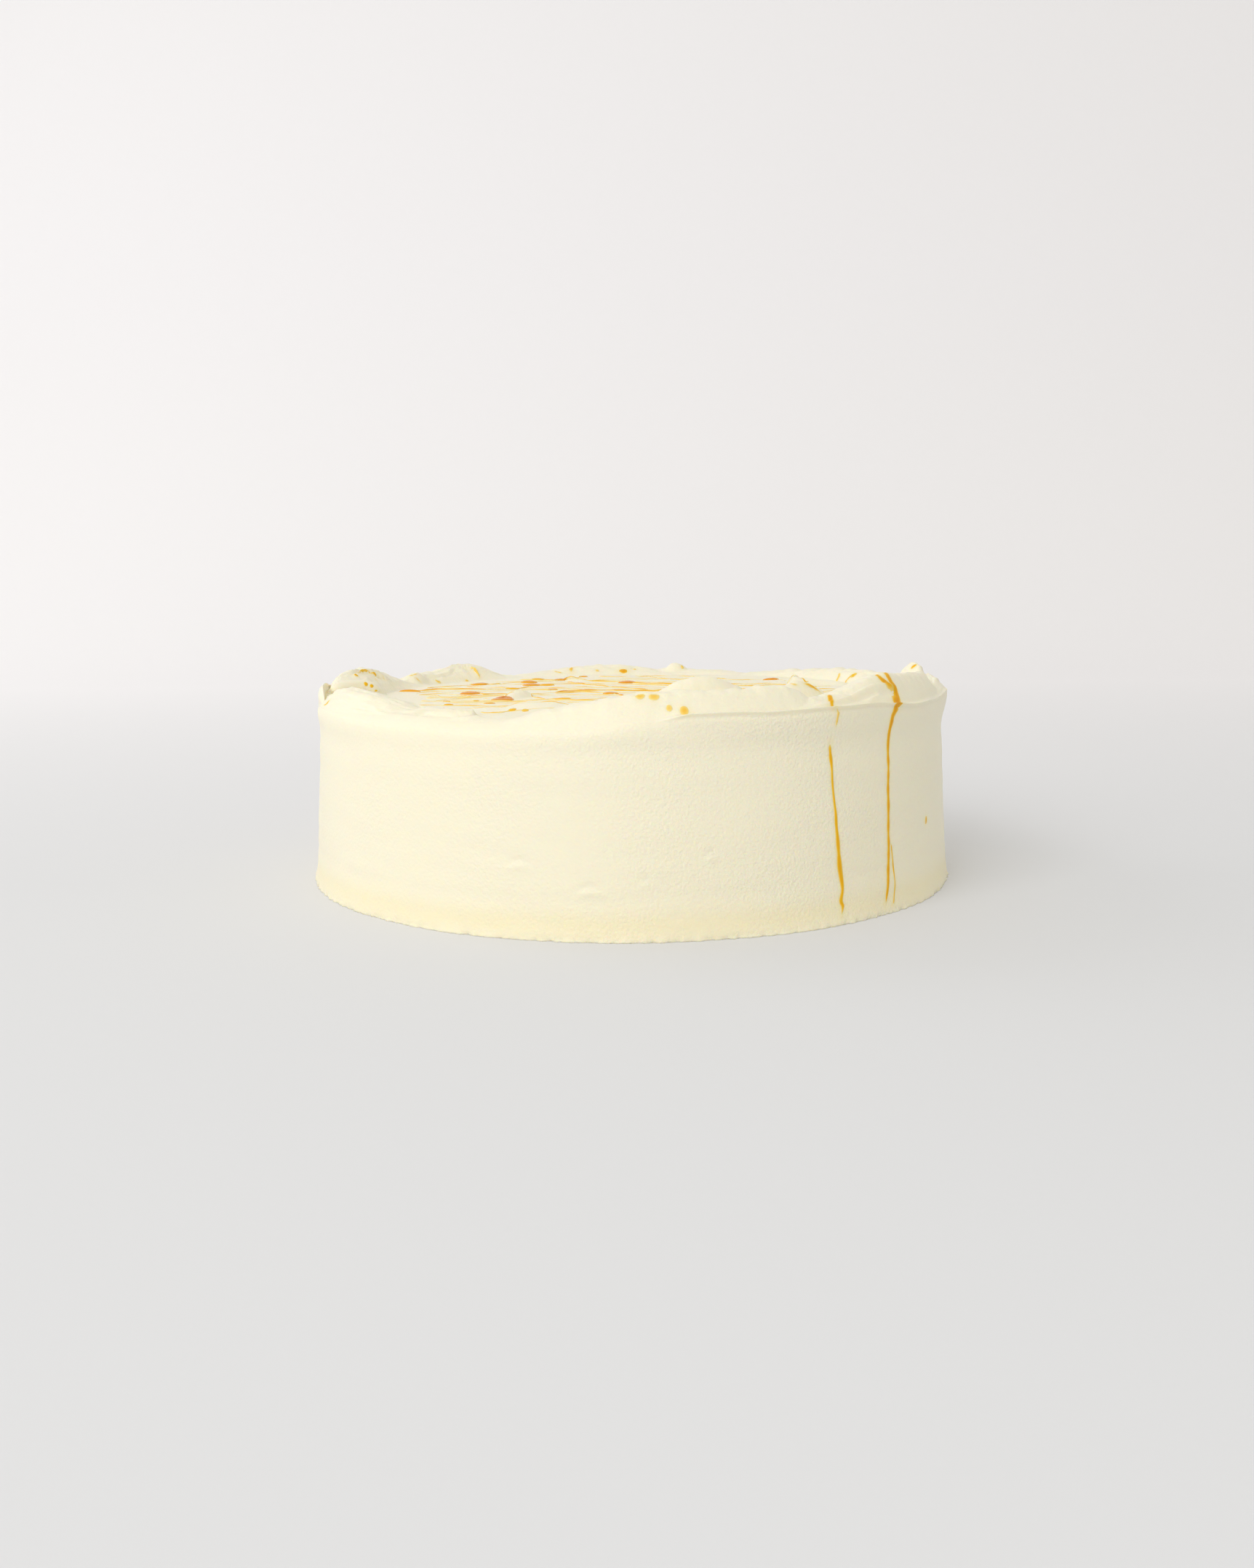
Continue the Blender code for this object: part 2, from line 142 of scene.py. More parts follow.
# One stroke of the spatula leaves a ridge of cream from start to finish, both given as (angle, radius). rise
# is its height over the flat at the start, the crest and the finish, crest is where along it the crest lies,
# inner and outer are its widths towards and away from the middle, steep shapes its flanks (0.5 stands up like
# a roll, 2 fades out), and streak is how deep the spatula's fine lines along it are.
Stroke = namedtuple("Stroke", "name start finish rise crest inner outer steep streak")
STROKES = (
    Stroke("left_curl", (-97, 105), (-84, 106), (0.8, 1.8, 1.2), 0.5, 3, 2.5, 0.9, 0),
    Stroke("front_left", (-81, 99.5), (-40, 93), (2.2, 5.8, 1.2), 0.4, 13, 8.5, 1.3, 0.55),
    Stroke("front_left_tip", (-46, 91), (-28.5, 96), (2.2, 2.5, 2.1), 0.6, 3, 6, 0.6, 0.2),
    Stroke("front_sweep", (-60, 92), (-4, 92), (2.6, 1.5, 2), 0.5, 11, 14, 1.2, 0.22),
    Stroke("front_layer", (-22, 96), (22, 98), (0.6, 9.7, 9.2), 0.72, 8, 13, 1.1, 0.12),
    Stroke("front_layer_end", (17, 98), (27, 97), (9.2, 10, 9.2), 0.55, 7, 10, 0.8, 0.08),
    Stroke("front_mound", (1, 89), (19, 88), (5, 12.9, 10.4), 0.66, 9, 8, 1, 0.12),
    Stroke("front_band", (20, 100), (46, 100), (5.4, 5.9, 5.8), 0.5, 9, 12, 1, 0.1),
    Stroke("inner_lobe", (31, 87), (40, 86), (8.6, 9.5, 7.2), 0.45, 9, 6, 0.9, 0.12),
    Stroke("right_mound", (38, 98), (68, 101), (6.6, 10.8, 9.6), 0.45, 12, 9, 0.8, 0.12),
    Stroke("right_shelf", (72, 103), (98, 103), (4.4, 6, 4.6), 0.55, 10, 6, 0.6, 0.35),
    Stroke("right_knob", (92.5, 100.6), (97.5, 99.6), (8, 9.2, 7.8), 0.45, 3.9, 3.4, 0.45, 0.12),
    Stroke("right_back", (104, 98), (131, 98), (3.6, 4.6, 3.6), 0.45, 9, 9, 1.1, 0.28),
    Stroke("right_back_low", (122, 98), (148, 98), (3.4, 3.2, 1), 0.4, 8, 9, 1.2, 0.28),
    Stroke("back_spike", (166, 98), (171, 96.5), (1.5, 4.4, 2), 0.55, 4, 6, 0.9, 0.15),
    Stroke("back_right", (150, 99), (178, 98), (0, 1.8, 1.3), 0.5, 8, 8, 1.2, 0.2),
    Stroke("back_middle", (-188, 97), (-156, 98), (1.2, 3.5, 1), 0.45, 10, 9, 1.2, 0.2),
    Stroke("back_left", (-147, 97), (-122, 98), (1, 5.2, 3.2), 0.35, 10, 8, 1, 0.3),
    Stroke("left_join", (-122, 94), (-117, 92), (3.6, 5, 3.6), 0.5, 5, 6, 1.1, 0.15),
    Stroke("left_swoop", (-116, 97), (-91, 100), (1.5, 8.2, 6.6), 0.62, 13, 8, 1, 0.32),
    Stroke("left_roll", (-86, 102), (-91.5, 91), (3.4, 5.6, 4.6), 0.6, 6, 6, 0.7, 0.1),
    Stroke("flat_swell", (-38, 64), (-14, 52), (0.8, 2.9, 0.6), 0.4, 8, 12, 1.5, 0.12),
    Stroke("flat_swoop", (-74, 43), (-85, 34), (0.6, 2.3, 0.3), 0.6, 2.4, 5, 0.9, 0.1),
    Stroke("flat_peak", (-160, 66), (-164, 58), (1.4, 0.9, 0.1), 0.3, 3, 4, 1.2, 0.05),
    Stroke("inner_spike", (120, 71), (113, 84), (3.7, 2.1, 1.2), 0.12, 3.2, 4.6, 1.1, 0.12),
)
STROKE_STEPS = 24
# How far a stroke's crest wavers in height, the waver's length along it and the first stroke's seed, and the
# strokes that waver more
CREST_WAVER = 0.015
CREST_WAVER_LENGTH = 7
CREST_WAVER_SEED = 300
RAGGED_WAVER = 0.10
RAGGED = ("right_back", "right_back_low")
# Wave lengths across a stroke of the spatula's fine lines, how far they swing along it, and the height of
# cream that takes them in full
STREAK_LENGTHS = (1.3, 1.9, 2.9, 4.6)
STREAK_SWING = 2.4
STREAK_CREAM = 1.5
# Soft lumps: size, reach and seed of each. They show in full where cream is heaped HEAP high, and FLAT_LUMP
# lies over all of the top.
LUMPS = ((8.5, 0.20, 71), (4.2, 0.10, 72), (2.2, 0.04, 73))
HEAP = 2.5
FLAT_LUMP = (14, 0.06, 41)

# Where one sheet of cream laps over another: its lower edge as (angle, distance in from the top edge), the
# step up behind that edge, how far the step takes to die out, and the lip on the edge. name is only a label.
Lap = namedtuple("Lap", "name step fade lip path")
LAPS = (
    Lap("mound_sheet", 0.9, 5, 1,
        ((28, 0.2), (32, 1.2), (36, 2.4), (40.5, 3.4), (44.5, 3.7), (49, 3), (53, 1.8))),
    Lap("mound_fold", 0.4, 3, 0.75, ((40.5, 0.4), (42, 1.2), (44, 2), (46.2, 2.4))),
    Lap("mound_end", 1.2, 6, 0.3,
        ((60.5, -0.4), (64.5, 0.4), (69, 1.2), (73.5, 2.6), (75.5, 5.4), (74.5, 9))),
    Lap("shelf_fold", 0.8, 3, 0.3, ((78, -0.4), (82, 0.8), (86, 1), (91, 1.6), (95, 3.2), (97, 6))),
    Lap("shelf_curl", 0.5, 2.5, 0.25, ((79, 4.4), (82, 3.2), (86, 3.6), (90, 5.4))),
    Lap("knob_fold", 0.9, 3, 0.3, ((90.5, 7.6), (93, 4.4), (96.5, 3.4), (100, 4.8), (101.5, 8))),
    Lap("layer_fold", 0.35, 4, 0, ((-4, 1.6), (4, 3.6), (12, 4.6), (20, 4), (27, 1.6))),
    Lap("swoop_fold_high", 0.8, 3, 0.3, ((-92.5, 8.2), (-96, 10.6), (-100.4, 13.6), (-102.6, 16.4))),
    Lap("swoop_fold_low", 0.6, 3, 0.25, ((-97.5, 12.6), (-101.2, 15.6), (-104, 18.6))),
    Lap("back_left_fold", 0.9, 4, 0.3, ((-133, 5), (-136.6, 9.6), (-138.4, 13.4), (-138.2, 17))),
    Lap("back_left_layer", 0.5, 4, 0.2, ((-121, 11), (-126, 14), (-131, 13.4), (-134, 10))),
    Lap("sweep_edge", 0.5, 6, 0.2, ((-74, 2.6), (-66, 4.6), (-56, 5), (-46, 3.8))),
    Lap("sweep_tip", 1, 5, 0.4, ((-44, 7), (-37, 6.4), (-31, 6.6), (-28, 8.2), (-28.4, 11.5))),
)
LAP_EDGE = 0.5
LAP_REACH = 14.0
# The lip behind a lap's edge and the groove before it: distance, width, and the groove's share of the lip
LAP_LIP = (0.45, 0.45)
LAP_GROOVE = (0.6, 0.45)
LAP_GROOVE_SHARE = 0.9

# The scraper's level bands on the wall: height, reach and width of each, and how far they drift up and down
WALL_BANDS = (
    (52, -0.42, 4.5),
    (56.5, 0.12, 2.2),
    (40, -0.1, 2.5),
    (31, 0.08, 2),
    (12.5, -0.14, 2),
)
BAND_DRIFT = 1.5
# Marks where the cream tore: angle, height, width, sag and depth. Each has a ridge this far below its line
# and a hollow this far above it.
WALL_TEARS = (
    (-17.4, 21.8, 6.5, 1.6, 0.6),
    (-6.3, 14.9, 9.5, 1.4, 0.55),
    (11.9, 24.1, 3.2, 0.4, 0.6),
    (2, 17.2, 4, 0.6, 0.36),
    (7, 6.2, 5, 0.7, 0.3),
)
TEAR_RIDGE = 0.6
TEAR_HOLLOW = 0.7
# The wall's slow swells: reach, squeeze in height, size and seed. All of the wall's relief fades out over
# RELIEF_FADE below the edge.
WALL_SWELLS = ((0.14, 1, 34, 11), (0.056, 3, 22, 12))
RELIEF_FADE = 3.0
# The ragged foot: reach, height, what is taken off all round, and share, size and seed of its crumbs
FOOT_RAGGED = 0.42
FOOT_RAGGED_HEIGHT = 1.1
FOOT_RAGGED_LEVEL = 0.8
FOOT_CRUMBS = ((1.0, 2.6, 13), (0.6, 7, 14))


def bell(away, width=1.0):
    """1 in the middle, falling off both ways as exp(-(away / width)^2)."""
    return np.exp(-((away / width) ** 2))


def eased(share):
    """From 0 to 1 with no slope at either end: s^2 * (3 - 2s)."""
    return share * share * (3 - 2 * share)


def turn_from(middle, angle):
    """How far round the cake each angle lies from the middle, from -180 to 180."""
    return np.mod(angle - middle + 180, 360) - 180


def ring_waves(angle, waves):
    """Whole waves round the cake, added up: reach * sin(lobes * angle + turn)."""
    return sum(reach * np.sin(lobes * np.radians(angle) + turn) for lobes, reach, turn in waves)


def ring_value(angle, column):
    """The edge stations' column at each angle: eased from one station to the next, all the way round."""
    first = EDGE_STATIONS[0]
    stations = np.array([*EDGE_STATIONS, (first[0] + 360, *first[1:])], float)
    turned = turn_from(0, angle)
    index = np.clip(np.searchsorted(stations[:, 0], turned, side="right") - 1, 0, len(stations) - 2)
    low, high = stations[index], stations[index + 1]
    share = eased((turned - low[..., 0]) / (high[..., 0] - low[..., 0]))
    return low[..., column] + (high[..., column] - low[..., column]) * share


def edge_height(angle):
    """The stations' height plus whole waves round the cake, deepest where the crease is crisp."""
    return ring_value(angle, 1) + ring_waves(angle, CREASE_WAVER) * (1 - SHOULDER_CALM * ring_value(angle, 2))


def edge_radius(angle):
    """The top radius, plus a few waves round the cake and the bulges where the rim leans out."""
    radius = TOP_RADIUS + ring_waves(angle, EDGE_WAVES)
    for middle, reach, spread in EDGE_BULGES:
        radius = radius + reach * bell(turn_from(middle, angle), spread)
    return radius


def swell(u, v, size, seed):
    """Smooth random relief from about -1 to 1: six seeded plane waves about one size long, added up."""
    draw = np.random.default_rng(seed)
    total = np.zeros(np.broadcast(u, v).shape)
    for _ in range(6):
        turn, phase, length = draw.uniform(0, 2 * np.pi, 2).tolist() + [size * draw.uniform(0.7, 1.5)]
        total += np.sin((u * math.cos(turn) + v * math.sin(turn)) * 2 * np.pi / length + phase)
    return total / 3


def line_swell(length, size, seed):
    """The same relief along a line."""
    return swell(length, np.zeros_like(length), size, seed)


def wall_relief(angle, height):
    """What the scraper leaves on the wall: level bands, a slow swell, crescent tears and a ragged foot."""
    arc = np.radians(angle) * TOP_RADIUS
    relief = 0
    for reach, squeeze, size, seed in WALL_SWELLS:
        relief = relief + reach * swell(arc, height * squeeze, size, seed)
    for level, reach, width in WALL_BANDS:
        drift = level + BAND_DRIFT * np.sin(np.radians(angle) * 2 + level)
        relief = relief + reach * bell(height - drift, width)
    for middle, level, width, sag, depth in WALL_TEARS:
        along = np.radians(turn_from(middle, angle)) * FOOT_RADIUS / (width / 2)
        above = height - level + sag * along**2
        window = np.clip(1 - along**2, 0, 1)
        relief = relief + depth * window * (bell(above + TEAR_RIDGE) - bell(above - TEAR_HOLLOW))
    crumbs = sum(share * swell(arc, height, size, seed) for share, size, seed in FOOT_CRUMBS)
    return relief + FOOT_RAGGED * (crumbs - FOOT_RAGGED_LEVEL) * bell(height, FOOT_RAGGED_HEIGHT)


def wall_radius(angle, height):
    """A taper from the foot, a small flare at the foot, eaves out to the edge radius, and the relief."""
    taper = np.clip((TAPER_HEIGHT - height) / TAPER_HEIGHT, 0, 1) ** TAPER_POWER
    radius = TOP_RADIUS + (FOOT_RADIUS - TOP_RADIUS) * taper
    radius = radius + FOOT_FLARE * np.exp(-height / FOOT_FLARE_HEIGHT)
    lean = np.clip((height - EAVES_START) / EAVES_HEIGHT, 0, 1) ** 2
    below_edge = np.clip((edge_height(angle) - height) / RELIEF_FADE, 0, 1)
    return radius + (edge_radius(angle) - TOP_RADIUS) * lean + wall_relief(angle, height) * below_edge


def near_path(path_x, path_y, x, y):
    """For each point: its distance from a path, the share along it, and the signed distance to its side."""
    nearest = np.full(x.shape, np.inf)
    along = np.zeros(x.shape)
    side = np.zeros(x.shape)
    steps = len(path_x) - 1
    for step in range(steps):
        step_x, step_y = path_x[step + 1] - path_x[step], path_y[step + 1] - path_y[step]
        to_x, to_y = x - path_x[step], y - path_y[step]
        part = np.clip((to_x * step_x + to_y * step_y) / (step_x**2 + step_y**2), 0, 1)
        off_x, off_y = to_x - part * step_x, to_y - part * step_y
        distance = np.hypot(off_x, off_y)
        closer = distance < nearest
        nearest = np.where(closer, distance, nearest)
        along = np.where(closer, (step + part) / steps, along)
        side = np.where(closer, off_y * step_x - off_x * step_y, side)
    return nearest, along, np.sign(side) * nearest


def streaks(across, along, seed):
    """The spatula's fine lines: seeded sines across the stroke that swing slowly along it, from -1 to 1."""
    draw = np.random.default_rng(seed)
    total = np.zeros(across.shape)
    for length in STREAK_LENGTHS:
        phase = draw.uniform(0, 2 * np.pi)
        swing = draw.uniform(0.4, 1) * STREAK_SWING
        turns = draw.uniform(1, 3)
        total += np.sin(across * 2 * np.pi / length + phase + swing * np.sin(along * turns * np.pi + phase))
    return total / len(STREAK_LENGTHS)


def stroke_length(stroke):
    """Roughly how long a stroke is, from its angles and radii."""
    turn = math.radians(stroke.finish[0] - stroke.start[0]) * stroke.start[1]
    return math.hypot(turn, stroke.finish[1] - stroke.start[1])


def stroke_height(stroke, x, y, number):
    """Rise along the stroke times (1 - (distance / width)^2)^steep, plus its fine lines."""
    share = np.linspace(0, 1, STROKE_STEPS + 1)
    angle = np.radians(stroke.start[0] + (stroke.finish[0] - stroke.start[0]) * share)
    radius = stroke.start[1] + (stroke.finish[1] - stroke.start[1]) * share
    nearest, along, side = near_path(radius * np.sin(angle), -radius * np.cos(angle), x, y)
    onwards = stroke.finish[0] >= stroke.start[0]
    width = np.where((side > 0) == onwards, stroke.inner, stroke.outer)
    first, crest, last = stroke.rise
    reach = RAGGED_WAVER if stroke.name in RAGGED else CREST_WAVER
    seed = CREST_WAVER_SEED + number
    waver = 1 + reach * swell(along * stroke_length(stroke), side * 0.5, CREST_WAVER_LENGTH, seed)
    climb = np.sin(np.clip(along / stroke.crest, 0, 1) * np.pi / 2)
    fall = np.cos(np.clip((along - stroke.crest) / (1 - stroke.crest), 0, 1) * np.pi / 2)
    rise = np.where(along < stroke.crest, first + (crest - first) * climb, last + (crest - last) * fall)
    height = rise * waver * (1 - np.clip(nearest / width, 0, 1) ** 2) ** stroke.steep
    return height + stroke.streak * streaks(side, along, number) * np.clip(height / STREAK_CREAM, 0, 1)


def lap_height(lap, x, y):
    """A step up behind the lap's lower edge that dies out inwards, with a thin lip along the edge."""
    angle, inward = np.array(lap.path, float).T
    radius = edge_radius(angle) - inward
    turn = np.radians(angle)
    nearest, along, side = near_path(radius * np.sin(turn), -radius * np.cos(turn), x, y)
    ends = np.clip(np.minimum(along, 1 - along) * 6, 0, 1)
    step = lap.step * eased(np.clip(side / LAP_EDGE + 0.5, 0, 1)) * np.exp(-np.maximum(side, 0) / lap.fade)
    lip = bell(side - LAP_LIP[0], LAP_LIP[1]) - LAP_GROOVE_SHARE * bell(side + LAP_GROOVE[0], LAP_GROOVE[1])
    return (step + lap.lip * lip) * ends * (nearest < LAP_REACH)


def top_height(x, y):
    """The flat and its waves, the highest stroke at each point and the laps, drawn down to meet the edge."""
    height = np.zeros(x.shape)
    for number, stroke in enumerate(STROKES):
        height = np.maximum(height, stroke_height(stroke, x, y, number))
    heaped = np.clip(height / HEAP, 0, 1)
    for size, reach, seed in LUMPS:
        height = height + reach * heaped * swell(x, y, size, seed)
    for reach, turn_x, phase_x, turn_y, phase_y in FLAT_WAVES:
        height = height + reach * np.sin(x * turn_x + phase_x) * np.sin(y * turn_y + phase_y)
    sweep = np.hypot(x - SWEEP_CENTRE[0], y - SWEEP_CENTRE[1])
    height = height + SWEEP_DEPTH * streaks(sweep / SWEEP_SPACING, x / SWEEP_LENGTH, SWEEP_SEED)
    height = height + FLAT_LUMP[1] * swell(x, y, FLAT_LUMP[0], FLAT_LUMP[2])
    for lap in LAPS:
        height = height + lap_height(lap, x, y)
    angle = np.degrees(np.arctan2(x, -y))
    edge = edge_height(angle)
    inward = np.clip((edge_radius(angle) - np.hypot(x, y)) / EDGE_WIDTH, 0, 1)
    return edge + (FLAT_HEIGHT + height - edge) * (1 - (1 - inward) ** CRISP_POWER)


def skin(angle, inward):
    """Points of the cream. inward is the distance in from the edge over the top, or minus the depth below
    the edge. A soft shoulder loses soft * (1 - |inward| / reach)^2 / 4 of its reach and drop."""
    angle, inward = np.broadcast_arrays(np.asarray(angle, float), np.asarray(inward, float))
    turn = np.radians(angle)
    edge = edge_height(angle)
    top_radius = edge_radius(angle) - np.maximum(inward, 0)
    top = top_height(top_radius * np.sin(turn), -top_radius * np.cos(turn))
    wall_height = np.maximum(edge + np.minimum(inward, 0), 0)
    soft = ring_value(angle, 2)
    crisp = (1 - soft) ** 2
    rounded = soft * np.clip(1 - np.abs(inward) / ROUND_REACH, 0, 1) ** 2 / 4
    lip = LIP_SIZE * crisp * bell(inward, LIP_WIDTH)
    radius = np.where(inward < 0, wall_radius(angle, wall_height), top_radius) + LIP_SHARES[0] * lip
    for place, width, out, down in CREVICES:
        crevice = crisp * bell(inward - place, width)
        radius = radius - out * crevice
        top = top - down * crevice
    radius = np.minimum(radius - ROUND_REACH * rounded, OUTER_RADIUS)
    height = np.where(inward < 0, wall_height, top) + LIP_SHARES[1] * lip - ROUND_DROP * rounded
    return np.stack([radius * np.sin(turn), -radius * np.cos(turn), height], axis=-1)


# How far to either side the slope of the cream is taken: on rim and wall, on the flat and on the roll
RIM_SLOPE = 1.2
FLAT_SLOPE = 0.4
ROLL_SLOPE = 0.3


def unit(vectors):
    """Each vector at length 1."""
    return vectors / np.linalg.norm(vectors, axis=-1, keepdims=True)


def surface_frame(surface, u, v, reach):
    """Points of a surface at u and v, with their outward directions from the slopes over twice the reach."""
    slope_u = surface(u + reach, v) - surface(u - reach, v)
    slope_v = surface(u, v + reach) - surface(u, v - reach)
    return surface(u, v), unit(np.cross(slope_u, slope_v))


def rim_frame(arc, inward):
    """Points on rim and wall with their outward directions. arc is the angle's length on the top radius."""
    return surface_frame(lambda u, v: skin(np.degrees(u / TOP_RADIUS), v), arc, inward, RIM_SLOPE)


def flat_frame(x, y):
    """Points on the top with their outward directions."""
    return surface_frame(lambda u, v: np.stack([u, v, top_height(u, v)], axis=-1), x, y, FLAT_SLOPE)


def grid_faces(rows, around, closed=True):
    """Quads between rows of points, each row around points long, as one array, with their outsides out."""
    columns = around if closed else around - 1
    row, column = np.meshgrid(np.arange(rows - 1) * around, np.arange(columns), indexing="ij")
    following = (column + 1) % around
    corners = [row + column, row + following, row + around + following, row + around + column]
    return np.stack(corners, axis=-1).reshape(-1, 4)


def fan(centre, ring):
    """Triangles from one point to each step of a ring."""
    return np.stack([np.full(len(ring), centre), ring, np.roll(ring, -1)], axis=-1)


class Solid:
    """Points, faces and point values that several closed shapes are gathered into, to make one piece."""

    def __init__(self):
        self.points = []
        self.quads = []
        self.triangles = [np.zeros((0, 3), int)]
        self.values = {}
        self.count = 0

    def add(self, points, quads, triangles=None, **values):
        self.points.append(points)
        self.quads.append(quads + self.count)
        if triangles is not None:
            self.triangles.append(triangles + self.count)
        for name, value in values.items():
            self.values.setdefault(name, []).append(np.broadcast_to(value, len(points)))
        self.count += len(points)

    def make(self, name, material):
        """The piece's object, with its place in its mesh in metres, riding on the cake's body."""
        points = np.concatenate(self.points) * MM
        quads, triangles = np.concatenate(self.quads), np.concatenate(self.triangles)
        corners = np.concatenate([quads.ravel(), triangles.ravel()]).astype(np.int32)
        totals = np.concatenate([np.full(len(quads), 4), np.full(len(triangles), 3)]).astype(np.int32)
        mesh = bpy.data.meshes.new(name)
        mesh.vertices.add(len(points))
        mesh.vertices.foreach_set("co", points.astype(np.float32).ravel())
        mesh.loops.add(len(corners))
        mesh.loops.foreach_set("vertex_index", corners)
        mesh.polygons.add(len(totals))
        mesh.polygons.foreach_set("loop_start", (np.cumsum(totals) - totals).astype(np.int32))
        mesh.polygons.foreach_set("loop_total", totals)
        mesh.update(calc_edges=True)
        mesh.shade_smooth()
        for label, value in self.values.items():
            layer = mesh.attributes.new(label, "FLOAT", "POINT")
            layer.data.foreach_set("value", np.concatenate(value).astype(np.float32))
        mesh.materials.append(material)
        piece = bpy.data.objects.new(name, mesh)
        bpy.context.scene.collection.objects.link(piece)
        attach(piece, BODY)
        return piece


# Sauce. A strand or run is a bead along a path, and a drop is a pool. depth is how much sauce there is: 0
# only tints the cream and 1 is a full amber drop. Strands on the flat, as points of (x, y):
Strand = namedtuple("Strand", "width depth path")
STRANDS = (
    Strand(1.1, 0.8,
           ((-27, 8), (-20.2, 13.7), (-10.2, 15.2), (0.2, 10.3), (9, 8.5), (24, 9), (44, 4), (62, 8))),
    Strand(0.9, 0.6,
           ((-24, 56), (-18.2, 44.5), (-10.5, 33.3), (-2.4, 25), (8.2, 14.6), (24, 2), (44, -14), (66, -26))),
    Strand(0.8, 0.55,
           ((-18.5, 58), (-10.9, 61), (-4.7, 58.7), (-1.1, 51.6), (7.2, 45.9), (16, 42), (32, 43), (43, 28))),
    Strand(0.9, 0.6,
           ((-34, -5), (-32.6, -9), (-27.5, -16), (-19, -21), (-8, -25), (6, -31), (24, -38), (44, -44))),
    Strand(1, 0.65,
           ((-26.5, 5), (-17, 9.8), (-9, 5), (-5.9, 1), (-3.5, -6), (1, -18), (10, -28), (26, -33), (42, -32),
            (58, -24))),
    Strand(0.7, 0.4, ((-24, -13.5), (-22, -14.6), (-19, -16))),
    Strand(0.6, 0.35, ((-74, 4), (-70, 2.5), (-67, 1.8), (-64, -5.3), (-57, -8), (-48, -6))),
    Strand(0.8, 0.55, ((-58, 11), (-56, 9), (-52.5, 7.4), (-50, 3.2), (-44, 4.9), (-39.3, -5))),
    Strand(0.8, 0.5, ((-50, -10.8), (-46.6, -13), (-42.7, -14.7), (-42, -8), (-39.5, -8.3))),
    Strand(0.5, 0.35, ((-66, -8), (-62, -9), (-58.7, -7.6), (-51, -9))),
    Strand(0.9, 0.6, ((-77.4, 17.6), (-74.8, 19.2), (-70, 22.6), (-66.8, 22.3), (-60.4, 23.5), (-52, 24))),
    Strand(0.8, 0.55, ((-52, 24), (-43, 26.5), (-39, 29.8), (-37, 39))),
    Strand(0.5, 0.35, ((-76, 9.5), (-71.6, 14.8), (-64, 17), (-54, 15))),
    Strand(0.7, 0.5,
           ((-74.5, 28.6), (-71.3, 32.6), (-65, 36.6), (-61.5, 40.7), (-56, 43), (-52.6, 41.3),
            (-48.6, 45.8))),
    Strand(0.8, 0.55, ((-48.6, 45.8), (-44, 49), (-38.4, 49.5), (-33, 57), (-26.5, 62.6), (-18.6, 78.7))),
    Strand(0.6, 0.4, ((-74, 3.2), (-68, 7.8), (-61.4, 4.8), (-54, -5))),
    Strand(0.5, 0.35, ((-65, -21), (-62, -15), (-56, -9), (-50, -8))),
    Strand(0.8, 0.44, ((-46, -62.5), (-43.5, -64.5), (-40, -64.5), (-38, -62), (-36.5, -60))),
    Strand(0.6, 0.4, ((1.9, 86.7), (7.7, 81.7), (9.4, 76.8), (17.4, 64.7), (30, 58))),
    Strand(0.6, 0.35, ((-12.7, 79), (0.4, 77.9), (9.5, 83.5), (20.3, 81.7), (28, 76), (36, 66))),
    Strand(0.5, 0.42,
           ((33, 69), (41, 58.6), (46, 59.9), (51.2, 58.7), (57.5, 54), (59.9, 48), (62.8, 38), (68, 24))),
    Strand(0.6, 0.45, ((28, 27), (43.3, 28.2), (49, 28.6), (53, 32), (58, 31.7), (66, 33))),
)
# Thinner passes between them, drawn by a rule: how many, how far apart, how far each strays from its level,
# their lean, how far out they reach, the step between their points, the wave along them, their widths and
# depths, and the seed of it all
PASSES = 22
PASS_GAP = 6.6
PASS_STRAY = 4
PASS_LEAN = 0.45
PASS_REACH = 79.0
PASS_STEP = 9.0
PASS_WAVE = 3.5
PASS_WAVE_LENGTH = 15
PASS_WIDTHS = (0.4, 0.7)
PASS_DEPTHS = (0.26, 0.46)
PASS_SEED = 8
# Drops on the flat: (x, y, width, length, turn, depth)
DROPS = (
    (-56.2, 8.6, 7.2, 7.6, 80, 1),
    (-43, -15.4, 6.6, 8.6, -60, 1),
    (-78.8, 17.2, 3.2, 8.2, 80, 0.85),
    (-56.4, 42.6, 7, 6, 10, 0.85),
    (-38.4, 49.6, 7, 5.6, 20, 0.85),
    (-36.6, 39.2, 7.2, 5.6, -10, 0.9),
    (-31, 38.4, 6, 3.2, 5, 0.7),
    (-26.5, 62.6, 6.2, 5, 10, 0.9),
    (-35.7, 64.7, 6, 4.4, 0, 0.6),
    (-18.6, 78.7, 4, 3.6, 0, 0.8),
    (-1.1, 51.8, 7.2, 6.8, 0, 1),
    (-6.8, 2.2, 4, 6.6, 58, 0.9),
    (-27.9, 19.6, 4.2, 4, 20, 0.8),
    (-43, 26.6, 5.6, 2.6, 10, 0.6),
    (-50, 3.6, 3, 2, 0, 0.5),
    (-61, -21.8, 2.8, 2.6, 0, 0.6),
    (-51.4, -18.6, 3, 2.4, 0, 0.55),
    (-58.9, -33.3, 3.2, 2.8, 0, 0.75),
    (-46.2, -28, 4.2, 2.8, 0, 0.7),
    (-66, -47, 3.4, 3, 0, 0.85),
    (-56, -55, 3.4, 3, 0, 0.85),
    (-21, -15.6, 2, 1.6, 0, 0.5),
    (-32.2, -61.6, 2.2, 2, 0, 0.45),
    (-36.2, -60.4, 2.6, 2.4, 0, 0.55),
    (54.4, 56.5, 6.8, 4.6, 0, 1),
    (24, -12, 5.4, 6.4, 30, 1),
    (44, 12, 4.2, 5.4, -40, 0.9),
    (12, -40, 4.6, 5.6, 15, 0.9),
    (30, 26, 3, 3.6, 0, 0.8),
    (70, -2, 3.4, 3, 0, 0.8),
)
